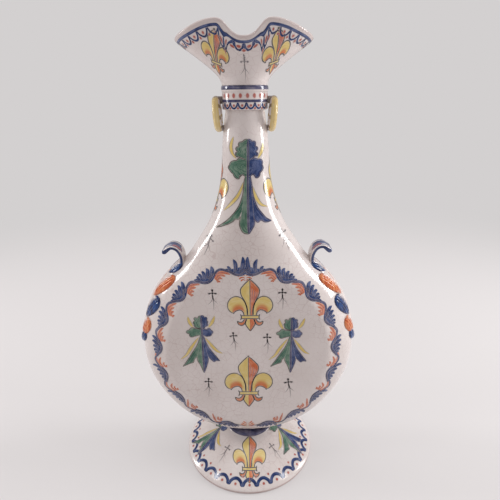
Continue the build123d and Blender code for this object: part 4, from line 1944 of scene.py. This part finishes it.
@dataclass
class LeafRelief(Paired):
    """Raised leaf below each handle: a broad spine with drooping lobes in turn cobalt and orange.

    Each lobe is a drop with its round head up at the margin and its tail down
    beside the spine: head and tail across and down, and half width, in millimetres.
    """

    kind: ClassVar[str] = "leaf"
    finishes: Finishes
    skin: BodySkin
    way: float
    top: float = 199.9 * MM
    length: float = 77.0 * MM
    half_width: float = 19.5 * MM
    spine_relief: float = 1.55 * MM
    lobe_relief: float = 2.4 * MM
    spine_root: float = 0.50
    spine_tip: float = 0.30
    ridge_share: float = 0.13
    ridge_pitch: float = 1.9 * MM
    drop_gain: float = 2.38
    spot_count: int = 6
    spot_span: Pair = (0.12, 0.92)
    spot_edge: Pair = (1.5 * MM, 0.9 * MM)
    vein_gap: float = 1.6 * MM
    vein_lean: float = 0.28
    vein_edge: Pair = (0.7 * MM, 0.25 * MM)
    vein_start: Pair = (1.5 * MM, 3.5 * MM)
    vein_end: Pair = (11 * MM, 7 * MM)
    vein_share: float = 0.65
    streak_scale: Triple = (420.0, 640.0, 90.0)
    lobes: tuple[tuple[float, float, float, float, float], ...] = (
        (8.2, -0.2, 3.0, 11.0, 4.3), (13.4, 8.6, 7.0, 29.5, 6.2), (15.2, 27.2, 7.0, 49.5, 6.9),
        (14.2, 48.6, 6.0, 67.5, 6.3), (11.4, 62.0, 4.0, 75.5, 5.0),
    )
    rows: int = 260
    columns: int = 132

    def build(self) -> Piece:
        """A patch of the body's side raised by the leaf's domes and sunk below the skin round them.

        Returns:
            The relief.
        """
        down = np.linspace(-0.03, 1.03, self.rows)[:, None] * self.length
        across = np.linspace(-1.05, 1.05, self.columns)[None] * self.half_width
        y, depth = across + 0 * down, down + 0 * across
        height = self._spine(depth, y)
        blue, orange, veins = np.zeros(y.shape), np.zeros(y.shape), np.zeros(y.shape)
        for number, lobe in enumerate(self.lobes):
            for side in (-1, 1):
                dome, cover = self._lobe(y, depth, side, lobe)
                higher = dome > height
                height = np.where(higher, dome, height)
                for target, own in ((blue, number % 2 == 0), (orange, number % 2 == 1)):
                    target[higher] = cover[higher] if own else 0.0
        for place in np.linspace(*self.spot_span, self.spot_count) * self.length:
            below = depth - place
            orange = np.maximum(orange, 0.9 * smooth_step(np.hypot(y, below), *self.spot_edge))
            vein = smooth_step(np.abs(np.abs(y) - self.vein_gap - self.vein_lean * below), *self.vein_edge)
            inside = smooth_step(below, *self.vein_start) * smooth_step(below, *self.vein_end)
            veins = np.maximum(veins, self.vein_share * vein * inside)
        orange = np.maximum(orange, veins)
        canvas = FacingCanvas(self.skin, self.way * math.pi / 2)
        base, normal = canvas.lay(y, self.top - depth, 0.0)
        parts = MeshParts()
        parts.grid(base + normal * height[..., None], marks={"blue": blue, "orange": orange})
        return settle(parts.build(self.name + "_painted", [self._material()]), "relief_glaze", self.name)

    def _spine(self, depth: Array, y: Array) -> Array:
        """Low rounded spine that tapers to the tip."""
        share = depth / self.length
        root, taper = self.spine_root, self.spine_root - self.spine_tip
        inside = 1 - (y / (self.half_width * (root - taper * share))) ** 2
        ends = smooth_step(share, -0.01, 0.03) * (1 - smooth_step(share, 0.96, 1.01))
        rise = self.spine_relief * np.sqrt(np.clip(inside, 0, 1)) * ends
        return rise - 0.5 * self.lobe_relief * (1 - ends * (inside > 0))

    def _lobe(self, y: Array, depth: Array, side: int, lobe: tuple[float, ...]) -> tuple[Array, Array]:
        """Height and colour cover of one lobe.

        The half width runs as the square root of the share along times the share
        left to the power 0.8, and the dome is the rest of a circle across it.

        Args:
            y: place across the leaf.
            depth: length down from the leaf's top.
            side: which margin.
            lobe: head across, head down, tail across, tail down and half width.

        Returns:
            The height above the skin and the share that the colour covers.
        """
        head_y, head_z, tail_y, tail_z, half = (MM * value for value in lobe)
        run_y, run_z = tail_y - head_y, tail_z - head_z
        length = math.hypot(run_y, run_z)
        off_y, off_z = side * y - head_y, depth - head_z
        along = (off_y * run_y + off_z * run_z) / length**2
        beside = (off_y * run_z - off_z * run_y) / length
        shape = self.drop_gain * np.sqrt(np.clip(along, 0, 1)) * np.clip(1 - along, 0, 1) ** 0.8
        breadth = np.maximum(half * shape, 0.02 * MM)
        away = np.abs(beside) / breadth
        inside = np.clip(1 - away**2, 0, 1) * (shape > 0.02)
        ridges = self.ridge_share * np.cos(2 * math.pi * beside / self.ridge_pitch) * inside
        raised = self.lobe_relief * (np.sqrt(inside) * shape**0.45 + ridges)
        dome = raised - 0.5 * self.lobe_relief * (inside <= 0)
        margin = np.clip(beside / breadth, -1, 1)
        cover = smooth_step(margin, -0.85, 0.45) * (1 - 0.4 * smooth_step(along, 0.45, 1.0))
        cover = np.maximum(cover, 0.8 * smooth_step(along, 0.14, 0.02))
        return dome, cover * (inside > 0)

    def _material(self) -> Material:
        """White glaze with both colours laid by the mesh's marks, in streaks down the leaf."""
        if "leaf_paint" in self.finishes.made:
            return self.finishes.made["leaf_paint"]
        material, wiring, shader, glaze, place = self.finishes.start("leaf_paint")
        stretch = wiring.node("ShaderNodeMapping")
        wiring.feed(stretch.inputs["Vector"], place)
        stretch.inputs["Scale"].default_value = self.streak_scale
        streaks = wiring.ease(wiring.noise(stretch.outputs[0], 1.0, 2.0), 0.36, 0.64)
        colour = glaze.outputs["Color"]
        for mark, paint in (("blue", Paint.COBALT.value), ("orange", Paint.ORANGE.value)):
            cover = wiring.mark(mark)
            painted = wiring.mix(wiring.math("MULTIPLY", streaks, 0.8), paint.deep, paint.thin)
            left = wiring.math("SUBTRACT", 1.0, wiring.math("MULTIPLY", streaks, 0.75))
            worn = wiring.math("MULTIPLY", cover, wiring.math("ADD", left, cover), clamp=True)
            colour = wiring.mix(worn, colour, painted)
        wiring.feed(shader.inputs["Base Color"], colour)
        self.finishes.made["leaf_paint"] = material
        return material


@dataclass
class PanelPainting:
    """What is painted on one face of the body and neck, front or back.

    Places are x, height, size and for the spots a lean in degrees, in millimetres.
    """

    finishes: Finishes
    skin: BodySkin
    back: bool
    fleurs: tuple[tuple[str, float, float, float], ...] = (
        ("upper", 2.2, 161.6, 47.6), ("lower", 0.2, 84.7, 54.0)
    )
    leaves: tuple[tuple[str, float, float, float], ...] = (
        ("left", -38.3, 135.2, 56.6), ("right", 36.2, 133.3, 54.5)
    )
    neck_place: Placing = Placing(1.6 * MM, 266.8 * MM, 69.7 * MM)
    spots: tuple[tuple[float, float, float, float], ...] = (
        (-27.9, 183.1, 20, 0), (28.1, 183.2, 20, 0), (-12.0, 143.5, 19, 4), (16.2, 141.7, 20, 0),
        (-34.9, 97.1, 21, -4), (35.0, 95.6, 22, 6), (-29.0, 225.0, 19, -24), (28.5, 228.5, 19, 20),
    )

    def build(self) -> None:
        """Paints the motifs, each its own piece."""
        canvas = FacingCanvas(self.skin, math.pi if self.back else 0.0)
        word = "back" if self.back else "front"
        for name, x, z, size in self.fleurs:
            place = Placing(x * MM, z * MM, size * MM)
            paint_piece(self.finishes, canvas, f"{word}_{name}_fleur_de_lis", FleurDeLis(), place)
        for name, x, z, size in self.leaves:
            place = Placing(x * MM, z * MM, size * MM)
            paint_piece(self.finishes, canvas, f"{word}_{name}_ermine_leaf", ErmineLeaf(), place)
        paint_piece(self.finishes, canvas, f"{word}_neck_ermine_leaf", NECK_LEAF, self.neck_place)
        places = [Placing(x * MM, z * MM, size * MM, math.radians(lean)) for x, z, size, lean in self.spots]
        paint_piece(self.finishes, canvas, f"{word}_ermine_spots", ErmineSpot(), *places)
        for name, side in (("left", -1.0), ("right", 1.0)):
            wreath = Wreath(canvas, side)
            brush = Brush(wreath)
            LeafBorder().paint(brush, math.pi * wreath.radius_z)
            brush.piece(f"{word}_{name}_leaf_border", self.finishes)


NECK_LEAF = ErmineLeaf(
    line=0.9 * MM,
    axis=((.004, .50), (0, .2), (-.004, -.1), (0, -.5)),
    green=LeafHalf(
        head=(
            (0, .50), (-.036, .475), (-.060, .470), (-.078, .455), (-.090, .425), (-.108, .410),
            (-.104, .375), (-.118, .355), (-.100, .325), (-.060, .318), (-.030, .300),
        ),
        arm=(
            (-.020, .285), (-.050, .290), (-.090, .295), (-.120, .280), (-.150, .262), (-.185, .240),
            (-.200, .205), (-.180, .180), (-.165, .150), (-.130, .115), (-.100, .100), (-.085, .125),
            (-.050, .150), (-.020, .110),
        ),
        wing_out=(
            (-.030, .115), (-.046, .04), (-.055, -.06), (-.098, -.185), (-.175, -.295), (-.265, -.385),
            (-.365, -.460),
        ),
        wing_in=(
            (0, .115), (-.020, -.10), (-.060, -.230), (-.092, -.300), (-.105, -.335), (-.140, -.335),
            (-.170, -.365), (-.260, -.415), (-.365, -.460),
        ),
        tail=(
            (-.030, .05), (-.050, -.12), (-.080, -.300), (-.098, -.375), (-.085, -.440), (-.055, -.485),
            (0, -.50),
        ),
    ),
    blue=LeafHalf(
        head=(
            (0, .50), (.030, .478), (.062, .472), (.078, .430), (.092, .400), (.086, .365), (.092, .335),
            (.055, .322), (.030, .295),
        ),
        arm=(
            (.020, .285), (.060, .290), (.110, .288), (.140, .265), (.152, .225), (.150, .190), (.135, .160),
            (.120, .130), (.092, .108), (.065, .135), (.040, .150), (.020, .110),
        ),
        wing_out=(
            (.030, .115), (.040, .04), (.055, -.08), (.095, -.200), (.150, -.280), (.200, -.340),
            (.258, -.380),
        ),
        wing_in=(
            (0, .115), (.020, -.10), (.050, -.230), (.060, -.330), (.075, -.350), (.105, -.375),
            (.135, -.352), (.185, -.380), (.258, -.380),
        ),
        tail=((.030, .05), (.045, -.12), (.060, -.300), (.066, -.395), (.040, -.445), (.004, -.50)),
    ),
    blades=(
        ((-.120, .300), (-.160, .350), (-.176, .410), (-.168, .460), (-.145, .525)),
        ((.108, .300), (.140, .350), (.158, .400), (.160, .460)),
        ((-.046, .065), (-.075, -.02), (-.112, -.090), (-.175, -.165), (-.272, -.262)),
        ((.034, .045), (.060, -.045), (.095, -.125), (.140, -.185), (.214, -.222)),
    ),
    blade_width=0.030,
)


@dataclass
class NeckSidePainting:
    """Fleur-de-lis on each side of the neck."""

    finishes: Finishes
    skin: BodySkin
    height: float = 47.0 * MM
    bar_height: float = 253.5 * MM

    def build(self) -> None:
        """Paints one on each side, hung on the side's meridian."""
        share = (self.bar_height - self.skin.base) / (self.skin.top - self.skin.base)
        for name, angle in (("left", -math.pi / 2), ("right", math.pi / 2)):
            canvas = MeridianCanvas(self.skin, angle, (0.55, 0.97))
            level = float(np.interp(share, canvas.shares, canvas.reach))
            place = Placing(0.0, level, self.height)
            paint_piece(self.finishes, canvas, f"neck_{name}_fleur_de_lis", FleurDeLis(), place)


@dataclass
class MouthPainting:
    """The mouth's blue line and scallops, four fleurs-de-lis and two ermine spots.

    Each fleur-de-lis has its name, the angle from the front that it is seen from,
    its x and size in millimetres and its lean in degrees.
    """

    finishes: Finishes
    skin: MouthSkin
    line_drop: float = 4.6 * MM
    line_width: float = 1.9 * MM
    bar_level: float = 352.3 * MM
    fleur_breadth: float = 0.82
    fleur_line: float = 0.8 * MM
    fleurs: tuple[tuple[str, float, float, float, float], ...] = (
        ("front_left", -35, -5.9, 28.3, -22), ("front_right", 40, 5.6, 28.5, 20),
        ("back_right", 145, -5.9, 28.3, -22), ("back_left", 220, 5.6, 28.5, 20),
    )
    spot_size: float = 16.0 * MM
    spot_stem: Points = ((-.2 * MM, 357.0 * MM), (0.1 * MM, 355.0 * MM), (0.2 * MM, 352.0 * MM))
    stem_width: float = 1.7 * MM
    loop_pitch: float = 8.0 * MM

    def build(self) -> None:
        """Paints the rim's band, then the motifs as seen square on."""
        hoop = HoopCanvas(self.skin, 1.0, 5 * MM)
        brush = Brush(hoop)
        half_line = self.line_width / 2
        line_levels = half_line - self.line_drop, -half_line - self.line_drop
        brush.band(hoop.length, *line_levels, Paint.COBALT, 3, rows=721, columns=5, margin=0.0)
        loops, hang = round(hoop.length / self.loop_pitch), -self.line_drop - 0.7 * MM
        scallops = ScallopBand(count=loops, hang=hang, drop=4.8 * MM, line=1.35 * MM, dot=1.3 * MM)
        scallops.paint(brush, hoop.length)
        brush.piece("mouth_scallop_band", self.finishes)
        for name, angle, x, size, lean in self.fleurs:
            canvas = FacingCanvas(self.skin, math.radians(angle))
            place = Placing(x * MM, self.bar_level, size * MM, math.radians(lean), breadth=self.fleur_breadth)
            fleur = FleurDeLis(line=self.fleur_line)
            paint_piece(self.finishes, canvas, f"mouth_{name}_fleur_de_lis", fleur, place)
        for name, angle in (("front", 0), ("back", 180)):
            brush = Brush(FacingCanvas(self.skin, math.radians(angle)))
            ErmineSpot().paint(brush, Placing(0.2 * MM, self.bar_level, self.spot_size))
            brush.stroke(self.spot_stem, self.stem_width, Paint.INK)
            brush.piece(f"mouth_{name}_ermine_spot", self.finishes)


@dataclass
class CollarPainting:
    """Cobalt bead, red ovals, a blue line and a row of scallops on the collar."""

    finishes: Finishes
    collar: Collar
    ovals: int = 21
    oval_drop: float = 2.6 * MM
    oval_radius: float = 2.1 * MM
    oval_squash: float = 0.72
    bead_margin: float = 0.1 * MM
    bead_foot: float = 0.36
    line_drop: float = 6.1 * MM
    line_width: float = 1.9 * MM

    def build(self) -> None:
        """Paints the collar on the hoop where its wall meets the bead."""
        turned = self.collar.skin()
        corner = np.argmax(turned.profile[:, 1] >= self.collar.top - self.collar.bead)
        hoop = HoopCanvas(turned, float(turned.reach[corner]))
        brush = Brush(hoop)
        bead = (1 - float(turned.reach[corner])) * turned.length
        half_line = self.line_width / 2
        brush.band(hoop.length, bead - self.bead_margin, self.bead_foot * bead, Paint.NAVY, 1)
        brush.band(hoop.length, half_line - self.line_drop, -half_line - self.line_drop, Paint.NAVY, 1)
        for number in range(self.ovals):
            place = [(hoop.length * (number + 0.4) / self.ovals, -self.oval_drop)]
            brush.dot(place, self.oval_radius, Paint.RED, squash=self.oval_squash, turn=math.pi / 2)
        hang = -self.line_drop - 1.0 * MM
        scallops = ScallopBand(count=17, hang=hang, drop=4.1 * MM, line=1.3 * MM, dot=1.15 * MM)
        scallops.paint(brush, hoop.length, shift=0.2)
        brush.piece("collar_painting", self.finishes)


@dataclass
class FootPainting:
    """Scalloped border, fleurs-de-lis, split leaves and ermine spots on the foot.

    Each leaf has its name, its meridian's angle and its turn; each spot has its
    name, its meridian's angle and its level in millimetres up the meridian.
    """

    finishes: Finishes
    foot: Foot
    fleur_place: Placing = Placing(0.0, 15.5 * MM, 41.0 * MM)
    leaf_level: float = 26.0 * MM
    leaf_size: float = 50.0 * MM
    leaves: tuple[tuple[str, float, float], ...] = (("left", -76, 28), ("right", 76, -28))
    spot_size: float = 19.0 * MM
    spots: tuple[tuple[str, float, float], ...] = (
        ("front_left", -38, 28), ("front_right", 40, 29), ("back_left", -142, 28), ("back_right", 140, 28),
    )

    def build(self) -> None:
        """Paints the border, then the motifs on their meridians."""
        skin = self.foot.skin()
        hoop = HoopCanvas(skin, 0.0)
        brush = Brush(hoop)
        scallops = ScallopBand(
            count=28, hang=0.8 * MM, drop=-6.4 * MM, line=3.0 * MM, dot=1.5 * MM, inside=0.28, between=1.30
        )
        scallops.paint(brush, hoop.length, shift=0.5)
        brush.piece("foot_scallop_border", self.finishes)
        for name, angle in (("front", 0), ("back", 180)):
            canvas = MeridianCanvas(skin, math.radians(angle))
            paint_piece(self.finishes, canvas, f"foot_{name}_fleur_de_lis", FleurDeLis(), self.fleur_place)
        for name, angle, turn in self.leaves:
            canvas = MeridianCanvas(skin, math.radians(angle))
            place = Placing(0.0, self.leaf_level, self.leaf_size, math.radians(turn))
            paint_piece(self.finishes, canvas, f"foot_{name}_ermine_leaf", ErmineLeaf(), place)
        for name, angle, level in self.spots:
            canvas = MeridianCanvas(skin, math.radians(angle))
            place = Placing(0.0, level * MM, self.spot_size)
            paint_piece(self.finishes, canvas, f"foot_{name}_ermine_spot", ErmineSpot(), place)


@dataclass
class Studio:
    """Pale floor, soft light and the photograph's camera."""

    lens: float = 29.4
    pitch: float = math.radians(20.92)
    roll: float = math.radians(-0.61)
    camera_place: Triple = (2.6 * MM, -322.8 * MM, 332.3 * MM)
    backdrop: Colour3 = tone(211, 208, 208)
    floor: Colour3 = tone(214, 210, 210)
    near: Colour3 = tone(218, 214, 214)
    middle: float = 0.22
    clip: Pair = (0.01, 20.0)
    sky: Colour3 = (1.0, 0.965, 0.965)
    sky_strength: float = 0.58
    floor_radius: float = 4.0
    floor_roughness: float = 0.9
    cloud_scale: float = 3.0
    cloud_share: float = 0.05
    fade: Pair = (0.35, 1.1)
    near_glow: float = 0.45
    lamps: tuple[tuple[str, float, float, float, Pair, float], ...] = (
        ("left_window", -100, 16, 1.15, (0.20, 0.50), 5.0),
        ("right_window", 95, 16, 1.15, (0.30, 0.60), 8.6),
        ("left_spot", -75, 48, 1.2, (0.12, 0.12), 0.9),
        ("right_spot", 75, 48, 1.2, (0.12, 0.12), 0.9),
        ("top_panel", 180, 78, 1.4, (1.2, 1.0), 6.0),
    )

    def camera(self) -> None:
        """Camera looking along +Y, tipped down and slightly rolled."""
        across = np.array([1.0, 0.0, 0.0])
        ahead = np.array([0.0, math.cos(self.pitch), -math.sin(self.pitch)])
        above = np.array([0.0, math.sin(self.pitch), math.cos(self.pitch)])
        cosine, sine = math.cos(self.roll), math.sin(self.roll)
        right, up = cosine * across + sine * above, -sine * across + cosine * above
        data = bpy.data.cameras.new("camera")
        data.lens, data.clip_start, data.clip_end = self.lens, *self.clip
        made = self._stand(data, right, up, -ahead, self.camera_place)
        bpy.context.scene.camera = made

    def lamp(self, name: str, turn: float, rise: float, reach: float, size: Pair, power: float) -> None:
        """A soft rectangular light aimed at the flask's middle.

        Args:
            name: its name.
            turn: its angle from the front towards +X, in degrees.
            rise: its angle above the flask's middle, in degrees.
            reach: its distance from the flask's middle.
            size: its width and height.
            power: its power in watts.
        """
        data = bpy.data.lights.new(name, "AREA")
        data.shape, data.size, data.size_y, data.energy = "RECTANGLE", size[0], size[1], power
        level, height = math.cos(math.radians(rise)), math.sin(math.radians(rise))
        back = np.array([level * math.sin(math.radians(turn)), -level * math.cos(math.radians(turn)), height])
        right = unit(np.cross([0, 0, 1.0], back))
        self._stand(data, right, np.cross(back, right), back, reach * back + np.array([0, 0, self.middle]))

    @staticmethod
    def _stand(data: bpy.types.ID, right: Array, up: Array, back: Array, place: Array) -> Piece:
        """Links a camera or light whose own axes lie along three directions.

        Args:
            data: the camera or light.
            right: direction of its X axis.
            up: direction of its Y axis.
            back: direction of its Z axis, away from where it looks.
            place: where it stands.

        Returns:
            Its object.
        """
        made = bpy.data.objects.new(data.name, data)
        axes = np.column_stack([right, up, back, place])
        made.matrix_world = Matrix(np.vstack([axes, [0, 0, 0, 1]]).tolist())
        bpy.context.scene.collection.objects.link(made)
        return made

    def world(self) -> None:
        """Even sky light, with the backdrop's own colour where the camera sees it, also through a piece."""
        world = bpy.data.worlds.new("studio")
        world.use_nodes = True
        wiring = Wiring(world.node_tree)
        lit = world.node_tree.nodes["Background"]
        wiring.feed(lit.inputs["Color"], self.sky)
        lit.inputs["Strength"].default_value = self.sky_strength
        seen = wiring.node("ShaderNodeBackground")
        wiring.feed(seen.inputs["Color"], self.backdrop)
        path = wiring.node("ShaderNodeLightPath").outputs
        straight = wiring.math("MAXIMUM", path["Is Camera Ray"], path["Is Transmission Ray"])
        chosen = wiring.mixed_shader(straight, lit.outputs[0], seen.outputs[0])
        wiring.feed(world.node_tree.nodes["World Output"].inputs["Surface"], chosen)
        bpy.context.scene.world = world

    def ground(self) -> None:
        """Round floor whose matt surface fades into the backdrop's colour away from the flask."""
        parts = MeshParts()
        radius = np.concatenate([[0.01], np.linspace(0.1, self.floor_radius, 30)])
        parts.grid(revolved(np.stack([radius, 0 * radius], axis=1), 64), round_trip=True, caps=(True, False))
        material, wiring, shader = blank_material("pale_floor")
        shader.inputs["Roughness"].default_value = self.floor_roughness
        place = wiring.node("ShaderNodeTexCoord").outputs["Object"]
        cloud = wiring.math("MULTIPLY", wiring.noise(place, self.cloud_scale), self.cloud_share)
        wiring.feed(shader.inputs["Base Color"], wiring.mix(cloud, self.floor, self.backdrop))
        far = wiring.fed("ShaderNodeVectorMath", place, operation="LENGTH").outputs["Value"]
        far_off = wiring.ease(far, *self.fade)
        glow = wiring.node("ShaderNodeEmission")
        wiring.feed(glow.inputs["Color"], wiring.mix(far_off, self.near, self.backdrop))
        path = wiring.node("ShaderNodeLightPath").outputs
        share = wiring.ease(far, *self.fade, self.near_glow, 1.0)
        seen = wiring.math("MULTIPLY", share, path["Is Camera Ray"])
        chosen = wiring.mixed_shader(seen, shader.outputs[0], glow.outputs[0])
        wiring.feed(material.node_tree.nodes["Material Output"].inputs["Surface"], chosen)
        floor = parts.build("floor", [material])

    def build(self) -> None:
        """Sets the whole studio up."""
        self.camera()
        self.world()
        self.ground()
        for lamp in self.lamps:
            self.lamp(*lamp)
        bpy.context.scene.view_settings.view_transform = "Standard"


def dress_small_nodes(finishes: Finishes) -> None:
    """Gives the ring lugs and pads a dark grey glaze as painted shade, for the shadow they sit in between the
    rings, collar and neck; they keep their CAD shape.
    """
    # Painted shade: this dark grey glaze stands in for the shadow round the lugs and pads.
    worn = finishes.glaze("lug_shade_glaze", (tone(128, 118, 114), tone(96, 84, 82), tone(62, 48, 48)))
    for node in ("left_ring_lug", "right_ring_lug", "left_ring_pad", "right_ring_pad"):
        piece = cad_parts[node]
        piece.data.materials.clear()
        piece.data.materials.append(worn)
        log.info("%s keeps its CAD shape", node)


def main() -> None:
    """Builds the studio, the flask's pieces and its painting, in order."""
    logging.basicConfig(level=logging.INFO, format="%(message)s")
    Studio().build()
    finishes = Finishes()
    body, mouth = BodySkin(), MouthSkin()
    BodyAndNeck(finishes, body).build()
    Mouth(finishes, mouth).build()
    foot, collar = Foot(finishes), Collar(finishes)
    foot.build()
    StemRing(finishes).build()
    collar.build()
    for way in (-1.0, 1.0):
        HangingRing(finishes, way).build()
        ScrollHandle(finishes, body, way).build()
        LeafRelief(finishes, body, way).build()
    for back in (False, True):
        PanelPainting(finishes, body, back).build()
    NeckSidePainting(finishes, body).build()
    MouthPainting(finishes, mouth).build()
    CollarPainting(finishes, collar).build()
    FootPainting(finishes, foot).build()
    dress_small_nodes(finishes)


if __name__ == "__main__":
    main()
